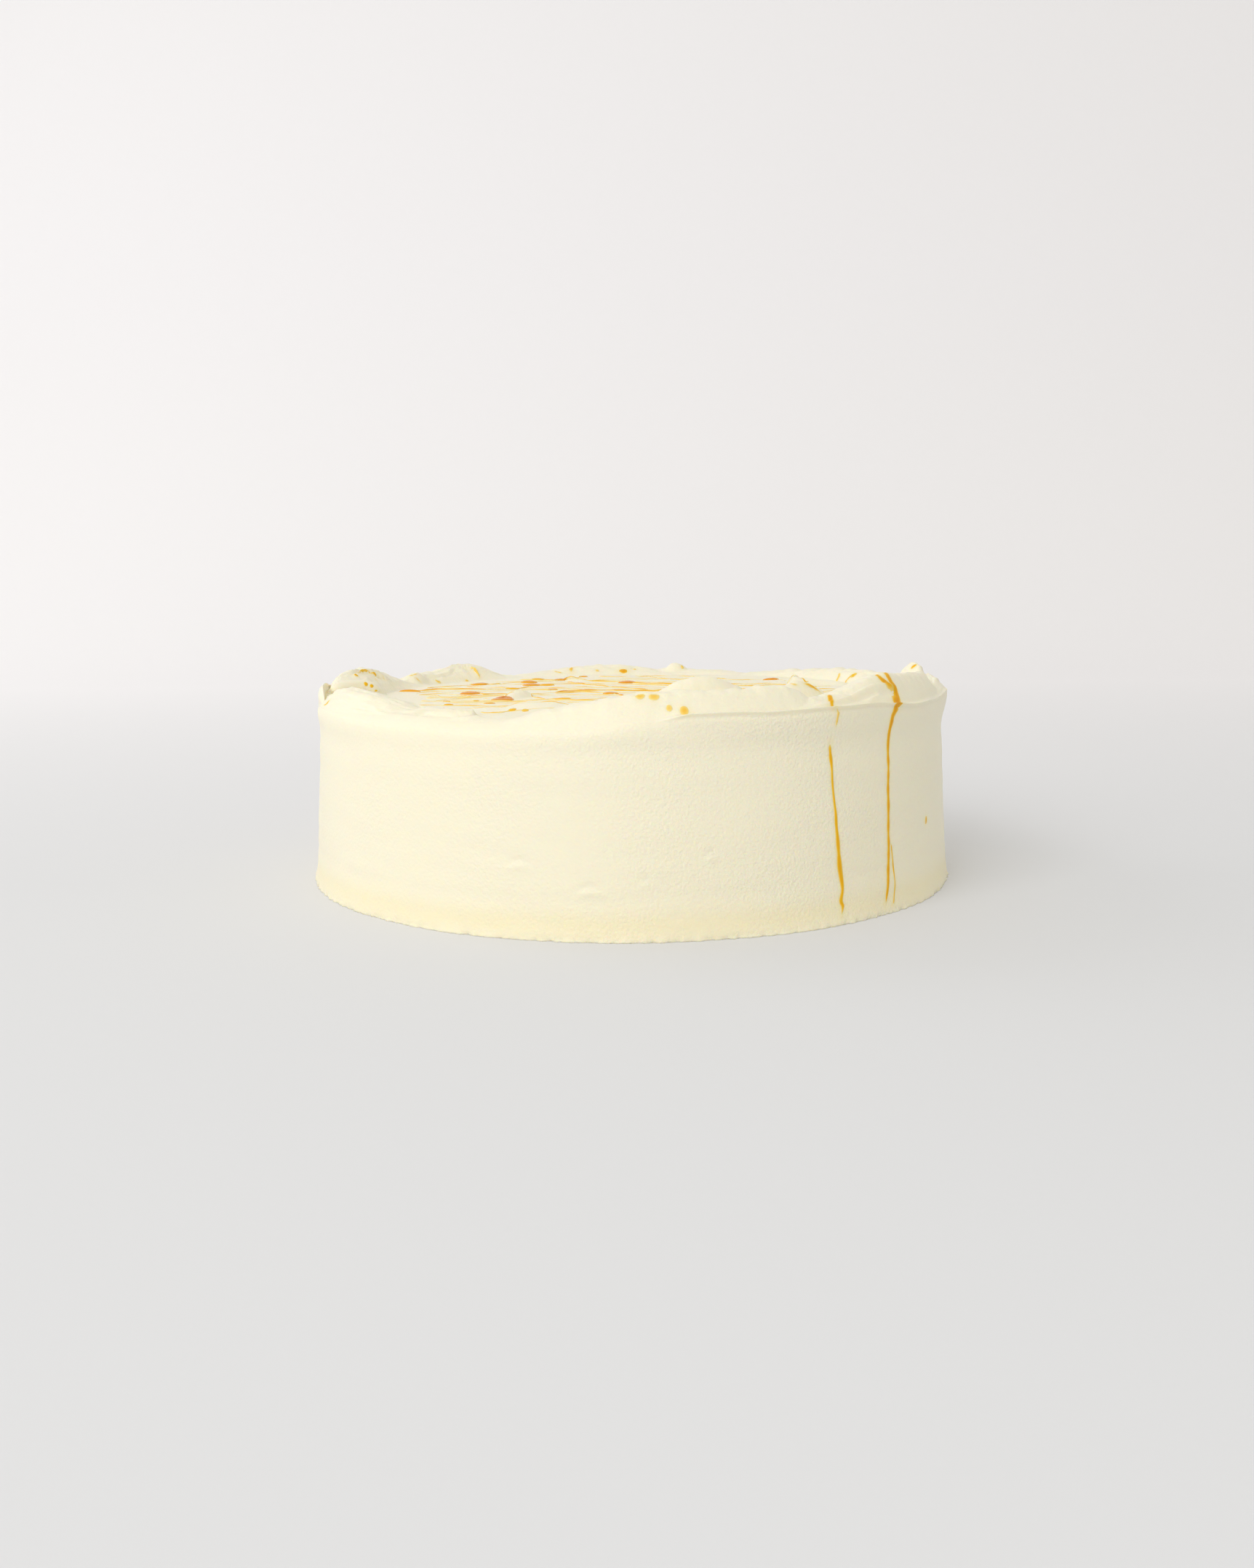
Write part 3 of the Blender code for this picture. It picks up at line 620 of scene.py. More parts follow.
# Sauce over the rim and down the wall: points as (angle, distance in from the edge, width). A distance under
# zero is a depth below the edge. name is only a label.
Run = namedtuple("Run", "name depth path")
RUNS = (
    Run("run_right_strand_a", 0.62,
        ((48.6, 9, 1.5), (48.3, 7, 1.9), (48, 5.2, 2), (48.6, 4, 2), (49.5, 3.3, 1.9),
         (50.2, 2.6, 1.6))),
    Run("run_right_strand_b", 0.62,
        ((51.4, 8.8, 1.6), (50.9, 6.8, 2.2), (50.2, 4.4, 2.2), (50.4, 3.2, 2), (50.2, 2.2, 2.4),
         (49.6, 1.2, 3), (49, 0.4, 3.4), (48.5, -0.4, 3), (48.2, -1.4, 2.4), (47.6, -2.8, 1.9),
         (47.1, -4.7, 1.7), (46.6, -11.6, 1.4), (46.3, -20, 1.3), (46.1, -33, 1.4), (45.9, -46, 1.4),
         (45.5, -54.6, 1.3), (44.7, -60.2, 0.9))),
    Run("run_branch", 0.5,
        ((46.6, -42, 0.5), (47, -46.7, 0.7), (47.3, -51.6, 0.7), (47.4, -55, 0.6), (46.9, -59.6, 0.6),
         (46.5, -60.6, 0.9))),
    Run("run_left_lobe", 0.56,
        ((35.7, 18.4, 0.8), (36.5, 18.3, 1.2), (37.6, 18.3, 1.3), (38.3, 18.1, 1.3), (39, 17.9, 1.5),
         (39.6, 17.1, 1.2))),
    Run("left_lobe_streak", 0.36, ((32.8, 19.8, 0.6), (33.1, 18.6, 1), (33.9, 17.9, 0.7))),
    Run("run_left_rim", 0.62,
        ((35.5, 7.6, 1), (34.3, 4.4, 1.4), (33.4, 2.1, 1.5), (33.1, 0.6, 1.7), (33.3, -0.1, 0.9))),
    Run("run_left_fade", 0.34,
        ((33.6, -0.3, 0.8), (33.9, -1.6, 1.1), (33.8, -3, 0.9), (33.6, -4.8, 0.9), (33.5, -5.8, 0.6))),
    Run("run_left", 0.52,
        ((32.7, -10.4, 1.3), (32.8, -13.5, 1.2), (33.1, -22.8, 0.9), (33.7, -35.5, 1.2), (34.1, -44.1, 1.7),
         (34.3, -47.4, 1.8), (34.6, -50.4, 1.6), (34.7, -53.6, 1.3), (34.3, -56.7, 1.5), (34.6, -58.4, 1.3),
         (34.2, -60.8, 1))),
    Run("rim_streak_a", 0.34,
        ((121.6, 12.4, 0.6), (120.2, 14.4, 1.2), (119.2, 17, 1.2), (116.4, 20.6, 0.8))),
    Run("rim_streak_b", 0.42,
        ((115.4, 12.1, 1.2), (115.7, 13.4, 1.2), (116.2, 14.8, 1.1), (116, 16.2, 1), (114.4, 18.2, 0.8))),
    Run("rim_streak_c", 0.2, ((122.6, 8.8, 1.2), (122, 10, 1.2))),
    Run("swoop_streak_a", 0.5,
        ((-94.3, 11.4, 0.9), (-95.6, 11.2, 0.7), (-97.2, 11.5, 0.6), (-98.4, 12.3, 0.6), (-99.2, 13.6, 0.8),
         (-100, 15, 0.9), (-100.6, 16, 0.6))),
    Run("swoop_streak_b", 0.3, ((-98.2, 15.4, 0.7), (-97.8, 16.6, 0.6))),
    Run("left_streak", 0.28, ((-101.9, 16, 0.5), (-101.4, 17.2, 0.6))),
    Run("ear_streak", 0.46, ((-71.4, 3.1, 0.5), (-72.4, 2.2, 0.9), (-74.2, 1.3, 0.5))),
    Run("back_left_streak", 0.36,
        ((-137.8, 12.2, 0.7), (-138.3, 13.5, 1), (-138.4, 15.7, 1.4), (-138.4, 16.8, 1.4),
         (-137.9, 17.6, 1))),
    Run("back_left_edge", 0.24, ((-136.8, 10.6, 0.6), (-137, 11.8, 0.6))),
    Run("left_join_streak_a", 0.4, ((-117.2, 15.4, 0.8), (-117.4, 16.9, 1.2), (-117.6, 17.9, 0.9))),
    Run("left_join_streak_b", 0.34, ((-116.9, 12.8, 1), (-117.6, 13.9, 0.8), (-118.9, 14.8, 0.9))),
    Run("back_streak_a", 0.36, ((-161, 10.4, 0.8), (-161.8, 13.4, 1.6), (-162.7, 15.2, 1.2))),
    Run("back_streak_b", 0.46, ((-166, 9, 1.6), (-165.2, 12.2, 1.8), (-164.9, 15.1, 2.2))),
)
# Drops on the rim and wall: (angle, distance in from the edge, width, length, turn, depth)
RIM_DROPS = (
    (8, 1.7, 2.7, 2.3, 0, 0.44),
    (5.8, 2.7, 1.9, 1.7, 0, 0.36),
    (3.6, 5.6, 3.4, 2.2, 5, 0.4),
    (1.4, 6.2, 2.9, 2.4, 0, 0.42),
    (-92.9, 11.6, 1.7, 1.6, 0, 0.6),
    (-171.7, 14.7, 1.8, 1.8, 0, 0.3),
    (-178.4, 14.9, 4, 3.6, 0, 0.8),
    (178.7, 12, 1.7, 1.6, 0, 0.42),
    (-134, 17.9, 2, 1.8, 0, 0.42),
    (-125, 16.4, 2.6, 2.4, 0, 0.42),
    (167, 9.4, 1.6, 2, 0, 0.36),
    (115.5, 13.1, 2.7, 2.6, 0, 0.52),
    (93.2, 7.9, 1.6, 2.2, 0, 0.66),
    (59.8, -37.2, 1.3, 2.8, 0, 0.66),
    (43.5, 16.5, 1.6, 2, 20, 0.4),
)
# Drops on the roll at the left: (length along it, arc up round it, width, length, depth)
ROLL_DROPS = (
    (13.2, 1.3, 1.9, 1.9, 0.62),
    (15.6, 1.2, 1.6, 1.8, 0.6),
    (17.5, -0.5, 1.4, 1.3, 0.5),
    (5.2, -0.6, 1.9, 1.5, 0.34),
)
# Steps along a bead and points across it, for strands on the flat and for the films of rim and wall
BEAD_STEP = 1.0
BEAD_SECTION = 9
FILM_STEP = 0.18
FILM_SECTION = 19
# How far films stand out, and how wet strands, films and drops look (0 soaked in, 1 a full gloss)
FILM_HEIGHT = 0.13
FILM_DROP_HEIGHT = 1.5 * FILM_HEIGHT
STRAND_WET = 0.7
FILM_WET = 0.15
DROP_WET = 1.0
# How strands and films swell along their length: reach, length of a swell and the first one's seed
STRAND_SWELL = (0.45, 11, 60)
FILM_SWELL = (0.12, 5, 160)
# The least and most of a strand's width that the swell leaves, the most of its depth, and what all depths of
# strands and all widths of films are multiplied by
STRAND_LEAST = 0.35
STRAND_WIDEST = 1.6
STRAND_DEEPEST = 1.3
STRAND_DEPTH = 1.15
FILM_WIDTH = 1.25
# The depth of a film: FILM_THIN where it is narrowest, and FILM_GAIN more for each FILM_BROAD of its width,
# up to FILM_MOST of them
FILM_THIN = 0.85
FILM_GAIN = 0.3
FILM_BROAD = 1.5
FILM_MOST = 1.6
# How fast a bead thins out to its sides, and how many widths long its tapered ends are
BEAD_FADE = 1.1
BEAD_TAPER = 1.5
# The share of its depth that is left at a drop's edge, on the flat and in a film
DROP_EDGE = 0.75
FILM_EDGE = 0.1
POOL_RINGS = 8
POOL_SIDES = 32
POOL_LOBES = (2, 3, 5)
DROP_STEEPNESS = 0.55
# The share of its full height that a drop stands out by for each mm of its width and length together
DROP_RISE = 0.08
DROP_SEED = 100
RIM_DROP_SEED = 200
ROLL_DROP_SEED = 240
# How far sauce starts below the cream's surface, and how deep it roots
SAUCE_SINK = 0.035
SAUCE_ROOT = 0.5


def swelling(path, step, form, number):
    """How a bead swells along its path: 1 plus seeded relief."""
    reach, length, seed = form
    return 1 + reach * line_swell(np.arange(len(path)) * step, length, seed + number)


def smooth_path(points, step):
    """A Catmull-Rom curve through the points, sampled about every step."""
    points = np.asarray(points, float)
    padded = np.concatenate([2 * points[:1] - points[1:2], points, 2 * points[-1:] - points[-2:-1]])
    pieces = []
    for index in range(len(points) - 1):
        before, start, finish, after = padded[index : index + 4]
        count = max(2, int(round(np.linalg.norm((finish - start)[:2]) / step)))
        share = np.linspace(0, 1, count, endpoint=False)[:, None]
        linear = (finish - before) * share
        square = (2 * before - 5 * start + 4 * finish - after) * share**2
        cube = (3 * start - before - 3 * finish + after) * share**3
        pieces.append(0.5 * (2 * start + linear + square + cube))
    return np.concatenate([*pieces, points[-1:]])


def closed_loft(solid, rings, **values):
    """Joins rings of points, each one closed, into a tube, and shuts each end with strips across its ring."""
    rows, around = rings.shape[:2]
    start = np.arange(around // 2 - 1)
    ends = np.stack([start, start + 1, around - 2 - start, around - 1 - start], axis=-1)
    quads = np.concatenate([grid_faces(rows, around), ends[:, ::-1], ends + (rows - 1) * around])
    solid.add(rings.reshape(-1, 3), quads, **values)


def bead(solid, place, path, step, section, width, depth, height, wet):
    """A bead of sauce along a path: each cross-section lies on the cream, crowned like a lens, roots below.

    place turns a pair of surface coordinates into points and outward directions. The crown is
    height * (1 - t^2), with t from -1 to 1 across the bead, and thick is depth * (1 - t^2)^fade.
    """
    along = unit(np.gradient(path, axis=0))
    across = np.stack([along[:, 1], -along[:, 0]], axis=-1)
    share = np.arange(len(path)) / (len(path) - 1)
    to_end = np.minimum(share, 1 - share) * len(path) * step
    taper = np.sqrt(np.clip(to_end / np.maximum(BEAD_TAPER * width, 0.5), 0.02, 1))
    t = np.linspace(-1, 1, section)
    offset = (width * taper / 2)[:, None] * t
    points, outward = place(path[:, :1] + across[:, :1] * offset, path[:, 1:] + across[:, 1:] * offset)
    crown = (1 - t**2) * taper[:, None]
    top = points + outward * (height * crown - SAUCE_SINK)[..., None]
    root = points - outward * SAUCE_ROOT
    thick = np.concatenate([crown**BEAD_FADE * depth[:, None], np.zeros_like(crown)], axis=1).ravel()
    closed_loft(solid, np.concatenate([top, root[:, ::-1]], axis=1), thick=thick, wet=wet)


def pool(solid, place, centre, size, turn, depth, edge, height, wet, seed):
    """A drop of sauce: rings out to an uneven oval edge, crowned like a dome, roots below the cream. edge is
    the share of its depth that is left at its edge."""
    draw = np.random.default_rng(seed)
    angle = np.linspace(0, 2 * np.pi, POOL_SIDES, endpoint=False)
    uneven = np.ones(POOL_SIDES)
    for lobes in POOL_LOBES:
        reach = draw.uniform(0.02, 0.09) / lobes
        uneven = uneven + reach * np.sin(lobes * angle + draw.uniform(0, 6))
    ring = np.linspace(1, 0.08, POOL_RINGS)[:, None]
    turned = math.radians(turn)
    a = ring * uneven * np.cos(angle) * size[0] / 2
    b = ring * uneven * np.sin(angle) * size[1] / 2
    u = centre[0] + a * math.cos(turned) - b * math.sin(turned)
    v = centre[1] + a * math.sin(turned) + b * math.cos(turned)
    points, outward = place(u, v)
    crown = np.broadcast_to(1 - ring**2, u.shape)
    top = points + outward * (height * crown**DROP_STEEPNESS - SAUCE_SINK)[..., None]
    root = points - outward * SAUCE_ROOT
    rows = np.concatenate([root[::-1], top], axis=0)
    share = np.concatenate([np.full_like(crown, edge), edge + (1 - edge) * crown**0.5])
    every = np.concatenate([rows.reshape(-1, 3), [rows[0].mean(axis=0), rows[-1].mean(axis=0)]])
    column = np.arange(POOL_SIDES)
    last, low = (len(rows) - 1) * POOL_SIDES, len(rows) * POOL_SIDES
    caps = np.concatenate([fan(low, column[::-1]), fan(low + 1, last + column)])
    solid.add(every, grid_faces(len(rows), POOL_SIDES), caps, thick=depth * np.append(share, [0, 1]), wet=wet)


class Wire:
    """A shader socket that arithmetic works on: each operator adds the Math node that works it out."""

    def __init__(self, paint, socket):
        self.paint = paint
        self.socket = socket

    def math(self, operation, *values):
        return self.paint.node("ShaderNodeMath", {"operation": operation}, dict(enumerate(values)))

    def __add__(self, other):
        return self.math("ADD", self, other)

    def __sub__(self, other):
        return self.math("SUBTRACT", self, other)

    def __rsub__(self, other):
        return self.math("SUBTRACT", other, self)

    def __mul__(self, other):
        return self.math("MULTIPLY", self, other)

    __radd__ = __add__
    __rmul__ = __mul__


class Paint:
    """A new material and the nodes that feed its Principled shader."""

    def __init__(self, name):
        self.material = bpy.data.materials.new(name)
        self.material.use_nodes = True
        self.tree = self.material.node_tree

    def node(self, kind, settings, inputs, output=0):
        """Adds one node: its settings first, then its sockets. Returns one of its outputs as a Wire."""
        made = self.tree.nodes.new(kind)
        for name, value in settings.items():
            if name == "stops":
                self.set_stops(made.color_ramp, value)
            else:
                setattr(made, name, value)
        self.feed(made, inputs)
        return Wire(self, made.outputs[output])

    def set_stops(self, ramp, stops):
        while len(ramp.elements) < len(stops):
            ramp.elements.new(0.5)
        for element, (position, colour) in zip(ramp.elements, stops):
            element.position = position
            element.color = (*colour, 1)

    def feed(self, made, inputs):
        """Links each socket that a Wire is given for, and sets the others to their values."""
        for name, value in inputs.items():
            if isinstance(value, Wire):
                self.tree.links.new(value.socket, made.inputs[name])
            else:
                made.inputs[name].default_value = value

    def shade(self, inputs):
        """Feeds the Principled shader, which ends the material."""
        self.feed(self.tree.nodes["Principled BSDF"], inputs)
        return self.material

    def place(self):
        """Object coordinates."""
        return self.node("ShaderNodeTexCoord", {}, {}, output=3)

    def point_value(self, name):
        """The piece's own point value of this name."""
        return self.node("ShaderNodeAttribute", {"attribute_name": name}, {}, output=2)

    def mix(self, factor, first, second):
        """From one colour to another. Each is a Wire or a plain colour."""
        first, second = [end if isinstance(end, Wire) else (*end, 1) for end in (first, second)]
        return self.node("ShaderNodeMix", {"data_type": "RGBA"}, {0: factor, 6: first, 7: second}, output=2)

    def noise(self, place, scale, detail, roughness):
        inputs = {"Vector": place, "Scale": scale, "Detail": detail, "Roughness": roughness}
        return self.node("ShaderNodeTexNoise", {}, inputs)


# The finer grain inside the peel grain: how much finer, its share of it, and what smooth cream still shows
FINE_GRAIN = 3
FINE_SHARE = 0.16
SMOOTH_SHARE = 0.04
# Specular levels of the sauce's drops and strands and of its soaked-in films
DROP_GLOSS = 0.2
FILM_GLOSS = 0.12


def cream_material(settings):
    """Whipped cream: soft light through it, a fine peel grain where the scraper dragged, stained by sauce,
    with a painted warm reflection on the wall near the foot.
    """
    paint = Paint("whipped_cream")
    place = paint.place()
    grain = paint.point_value("grain")
    peel = paint.noise(place, 1 / settings.grain_size, 1.0, 0.45)
    fine = paint.noise(place, FINE_GRAIN / settings.grain_size, 1.0, 0.5)
    relief = peel * grain + fine * (grain * FINE_SHARE + SMOOTH_SHARE)
    heights = {"Strength": 1.0, "Distance": settings.grain_depth, "Height": relief}
    cloud = paint.noise(place, 18.0, 2.0, 0.5)
    colour = paint.mix(cloud * 0.5, settings.cream_colour, settings.cream_shade)
    # Painted warm reflection near the foot, as if light bounced up from below the cake
    colour = paint.mix(paint.point_value("warm"), colour, settings.painted_glow_colour)
    colour = paint.mix(paint.point_value("stain"), colour, settings.stain_colour)
    return paint.shade({
        "Base Color": colour,
        "Normal": paint.node("ShaderNodeBump", {}, heights),
        "Roughness": settings.cream_roughness,
        "Specular IOR Level": 0.35,
        "Subsurface Weight": 0.5,
        "Subsurface Radius": (1.0, 0.75, 0.4),
        "Subsurface Scale": settings.cream_glow,
    })


def sauce_material(settings, name, gloss):
    """Yuzu sauce: cream-coloured where it thins out, then yellow, gold and amber. It is glossy where wet."""
    paint = Paint(name)
    stops = (
        (0.0, settings.cream_colour),
        (0.2, settings.sauce_thin),
        (0.5, settings.sauce_gold),
        (1.0, settings.sauce_amber),
    )
    return paint.shade({
        "Base Color": paint.node("ShaderNodeValToRGB", {"stops": stops}, {"Fac": paint.point_value("thick")}),
        "Roughness": 0.5 - 0.36 * paint.point_value("wet"),
        "Specular IOR Level": gloss,
        "Subsurface Weight": 0.25,
        "Subsurface Radius": (1.0, 0.5, 0.15),
        "Subsurface Scale": 0.0008,
    })


def stage_material(settings):
    """A matt pale sweep that turns from the floor's colour to a brighter backdrop, a touch uneven. The
    backdrop's extra brightness is painted light, and the sweep also gives off a painted glow of its own
    colour.
    """
    paint = Paint("pale_stage")
    place = paint.place()
    cloud = paint.noise(place, 1.5, 2.0, 0.5)
    depth = paint.node("ShaderNodeSeparateXYZ", {}, {"Vector": place}, output=1)
    # Painted light: the sweep turns brighter towards the backdrop
    mixed = paint.mix(depth * 1.25 + cloud * 0.06, settings.floor_colour, settings.backdrop_colour_and_light)
    return paint.shade({
        "Base Color": mixed,
        # Painted glow: the sweep gives off light of its own colour
        "Emission Color": mixed,
        "Emission Strength": settings.stage_shine,
        "Roughness": 0.9,
        "Specular IOR Level": 0.2,
    })


def colour_setting(name, text, default):
    return FloatVectorProperty(name=name, description=text, default=default, subtype="COLOR", min=0, max=1)


def length_setting(name, text, default):
    return FloatProperty(name=name, description=text, default=default, min=0, unit="LENGTH")


def power_setting(name, text, default):
    return FloatProperty(name=name, description=text, default=default, min=0, unit="POWER")


def share_setting(name, text, default):
    return FloatProperty(name=name, description=text, default=default, min=0, max=1, subtype="FACTOR")


class YuzuCreamSettings(bpy.types.PropertyGroup):
    """Colours and grain of the cream."""

    cream_colour: colour_setting("Cream", "Colour of the cream in full light", (0.935, 0.875, 0.705))
    cream_shade: colour_setting("Cream shade", "Colour of its slightly deeper patches", (0.925, 0.855, 0.665))
    # Painted warm reflection near the foot, not a colour of the cream itself
    painted_glow_colour: colour_setting("Warm", "Colour that the cream turns to near the foot", (0.93, 0.83, 0.56))
    stain_colour: colour_setting("Stain", "Colour of cream that has taken up sauce", (0.95, 0.76, 0.28))
    cream_roughness: share_setting("Roughness", "Roughness of the cream", 0.48)
    grain_size: length_setting("Grain size", "Width of one bump of the peel grain", 0.0009)
    grain_depth: length_setting("Grain depth", "Depth of the peel grain", 0.0003)
    cream_glow: length_setting("Glow", "How far light travels in the cream", 0.0007)


class YuzuSauceSettings(bpy.types.PropertyGroup):
    """Colours and thickness of the sauce."""

    cream_colour: colour_setting("Cream", "Colour that the sauce fades to at its edge", (0.93, 0.87, 0.66))
    sauce_thin: colour_setting("Thin", "Colour of a thin film of sauce", (0.97, 0.75, 0.30))
    sauce_gold: colour_setting("Gold", "Colour of a strand of sauce", (0.90, 0.51, 0.014))
    sauce_amber: colour_setting("Amber", "Colour of a full drop of sauce", (0.75, 0.25, 0.008))
    bead_height: length_setting("Bead height", "How far a strand 1 mm wide stands out", 0.0004)
    drop_height: length_setting("Drop height", "How far a large drop stands out", 0.0008)


class YuzuStageSettings(bpy.types.PropertyGroup):
    """Floor, light and camera."""

    floor_colour: colour_setting("Floor", "Colour of the floor", (0.67, 0.675, 0.70))
    # Brighter than the floor: partly the backdrop's own pale colour, partly painted light falling on it
    backdrop_colour_and_light: colour_setting("Backdrop", "Colour of the backdrop", (0.83, 0.82, 0.845))
    stage_shine: share_setting("Shine", "Light that floor and backdrop give off", 0.11)
    sky_colour: colour_setting("Sky", "Colour of the even light from all round", (1.0, 0.98, 0.89))
    sky_strength: share_setting("Sky strength", "Strength of the even light", 0.70)
    key_power: power_setting("Key power", "Power of the large soft light at the left", 16.9)
    back_power: power_setting("Back power", "Power of the soft light behind on the left", 2.5)


# Grid of the cream coat. The rim has every sector, the wall and flat every second and the centre every
# fourth. WALL_ROWS is (from, to, step) up a wall FLAT_HEIGHT high. EDGE_ROWS and RIM_ROWS are distances from
# the edge, down the wall and in over the top, and the row steps carry on from there to the middle.
SECTORS = 960
FRONT_CROWDING = 0.25
WALL_ROWS = (
    (0.0, 1.2, 0.4),
    (1.2, 6.4, 1.1),
    (6.4, 13.4, 1.25),
    (13.4, 25.8, 0.8),
    (25.8, 51.0, 2.3),
    (51.0, 56.0, 1.25),
)
EDGE_ROWS = (3.1, 2.3, 1.6, 1.05, 0.65, 0.36, 0.16)
RIM_ROWS = (0.0, 0.16, 0.36, 0.6, 0.9, 1.2, 1.5)
LAP_ROW_STEP = 0.33
LAP_ROW_REACH = 5.8
RIM_ROW_STEP = 0.6
RIM_REACH = 24.0
FLAT_ROW_STEP = 1.5
CENTRE_RADIUS = 42.0
CENTRE_ROW_STEP = 2.0

# Where the peel grain shows most, its share at the sides and on the rim, and its slow patches
GRAIN_MIDDLE = 18
GRAIN_SPREAD = 42
GRAIN_SIDES = 0.65
GRAIN_RIM = 0.4
GRAIN_PATCHES = (0.75, 0.25, 30, 21)
# Painted warm reflection on the wall near the foot, as if light bounced up from a gold board beneath, and its
# fainter fade above it: strength, height and width or reach
PAINTED_GLOW_BAND = (0.55, 4.5, 4)
PAINTED_GLOW_FADE = (0.14, 14)
# How strongly sauce stains the cream round it, and how far: for a run by its width plus 1 mm, taken at every
# STAIN_STEP along it, and for a drop by its width plus length
RUN_STAIN = 0.8
RUN_STAIN_REACH = 0.5
STAIN_STEP = 1.2
DROP_STAIN = 0.9
DROP_STAIN_REACH = 0.35


def coat_rows(angle):
    """Surface coordinates of the coat's rows, and how many sectors each row skips: shares of the wall first,
    then distances from the edge, then shares of the flat."""
    edge = edge_height(angle)
    heights = np.concatenate([np.arange(low, high - 0.01, step) for low, high, step in WALL_ROWS])
    rows = [-edge * (1 - height / FLAT_HEIGHT) for height in heights]
    skips = [2] * len(rows)
    rows += [np.full_like(angle, -depth) for depth in EDGE_ROWS]
    laps = np.arange(RIM_ROWS[-1] + LAP_ROW_STEP, LAP_ROW_REACH, LAP_ROW_STEP)
    reach = np.concatenate([RIM_ROWS, laps, np.arange(laps[-1] + RIM_ROW_STEP, RIM_REACH, RIM_ROW_STEP)])
    rows += [np.full_like(angle, inward) for inward in reach]
    skips += [1] * (len(rows) - len(skips))
    inner = edge_radius(angle) - reach[-1]
    count = int((inner.mean() - CENTRE_RADIUS) / FLAT_ROW_STEP)
    radii = [inner + (CENTRE_RADIUS - inner) * step / count for step in range(1, count)]
    skips += [2] * len(radii)
    count = int(CENTRE_RADIUS / CENTRE_ROW_STEP)
    radii += [np.full_like(angle, CENTRE_RADIUS * (1 - step / count)) for step in range(count)]
    rows += [edge_radius(angle) - radius for radius in radii]
    skips += [4] * (len(rows) - len(skips))
    return rows, skips


def band_faces(low, high, low_start, high_start):
    """Faces between two rows of the coat. Where one row has twice the other's points, three triangles fill
    each pair of sectors."""
    if low == high:
        column = np.arange(low)
        following = (column + 1) % low
        quads = [low_start + column, low_start + following, high_start + following, high_start + column]
        return np.stack(quads, axis=-1), np.zeros((0, 3), int)
    many_start, few_start = (low_start, high_start) if low > high else (high_start, low_start)
    column = np.arange(min(low, high))
    near, middle = many_start + 2 * column, many_start + 2 * column + 1
    far = many_start + (2 * column + 2) % max(low, high)
    few, few_far = few_start + column, few_start + (column + 1) % min(low, high)
    corners = [(near, middle, few), (middle, few_far, few), (middle, far, few_far)]
    faces = np.concatenate([np.stack(three, axis=-1) for three in corners])
    return np.zeros((0, 4), int), faces if low > high else faces[:, ::-1]


def cream_coat(settings):
    """The coat on a polar grid, from the foot up the wall, over the rim and across the flat, its ends shut.
    The sectors' angles are 360 * (s - 1/2 + crowding * sin(2 pi s) / (2 pi)), closest together in front."""
    share = np.arange(SECTORS) / SECTORS
    angle = 360 * (share - 0.5 + FRONT_CROWDING / (2 * np.pi) * np.sin(2 * np.pi * share))
    rows, skips = coat_rows(angle)
    angles = np.concatenate([angle[::skip] for skip in skips])
    inward = np.concatenate([row[::skip] for row, skip in zip(rows, skips)])
    counts = [SECTORS // skip for skip in skips]
    starts = np.concatenate([[0], np.cumsum(counts)])
    points = skin(angles, inward)
    points[: counts[0], 2] = 0
    faces = [band_faces(*step) for step in zip(counts[:-1], counts[1:], starts[:-2], starts[1:-1])]
    foot, last = np.arange(counts[0]), starts[-2] + np.arange(counts[-1])
    caps = [fan(len(points), foot[::-1]), fan(len(points) + 1, last)]
    origin = np.zeros(1)
    every = np.concatenate([points, [[0, 0, 0], [0, 0, top_height(origin, origin)[0]]]])
    quads = np.concatenate([face[0] for face in faces])
    triangles = np.concatenate([face[1] for face in faces] + caps)
    solid = Solid()
    solid.add(every, quads, triangles, **coat_values(every, angles, inward))
    return solid.make("cream_coat", cream_material(settings))


def coat_values(points, angles, inward):
    """Point values for the cream's material: how grainy it is, how much painted warm reflection it takes near
    the foot, and how stained by sauce it is.
    """
    angle = np.append(angles, [0, 0])
    height = points[:, 2]
    wall = np.clip(-np.append(inward, [-FLAT_HEIGHT, FOOT_RADIUS]) / 2, 0, 1)
    facing = bell(turn_from(GRAIN_MIDDLE, angle), GRAIN_SPREAD)
    level, reach, size, seed = GRAIN_PATCHES
    patchy = level + reach * swell(np.radians(angle) * TOP_RADIUS, height, size, seed)
    grain = wall * (GRAIN_SIDES + (1 - GRAIN_SIDES) * facing) * patchy + (1 - wall) * GRAIN_RIM
    # Painted warm reflection: strongest in a band near the foot, fading with height
    strength, middle, width = PAINTED_GLOW_BAND
    warm = strength * bell(height - middle, width) + PAINTED_GLOW_FADE[0] * np.exp(-height / PAINTED_GLOW_FADE[1])
    return {"grain": grain, "warm": wall * warm, "stain": stain(points)}


def stain(points):
    """How much sauce each point of the cream has taken up: it fades with distance from each run and drop."""
    sources = []
    for run in RUNS:
        angle, inward, width = smooth_path(run.path, STAIN_STEP).T
        reach = RUN_STAIN_REACH * (width + 1)
        sources += [(place, RUN_STAIN * run.depth, wide) for place, wide in zip(skin(angle, inward), reach)]
    for angle, inward, width, length, _, depth in RIM_DROPS:
        sources.append((skin(angle, inward), DROP_STAIN * depth, DROP_STAIN_REACH * (width + length)))
    amount = np.zeros(len(points))
    for place, most, reach in sources:
        amount = np.maximum(amount, most * bell(np.linalg.norm(points - place, axis=1), reach))
    return amount


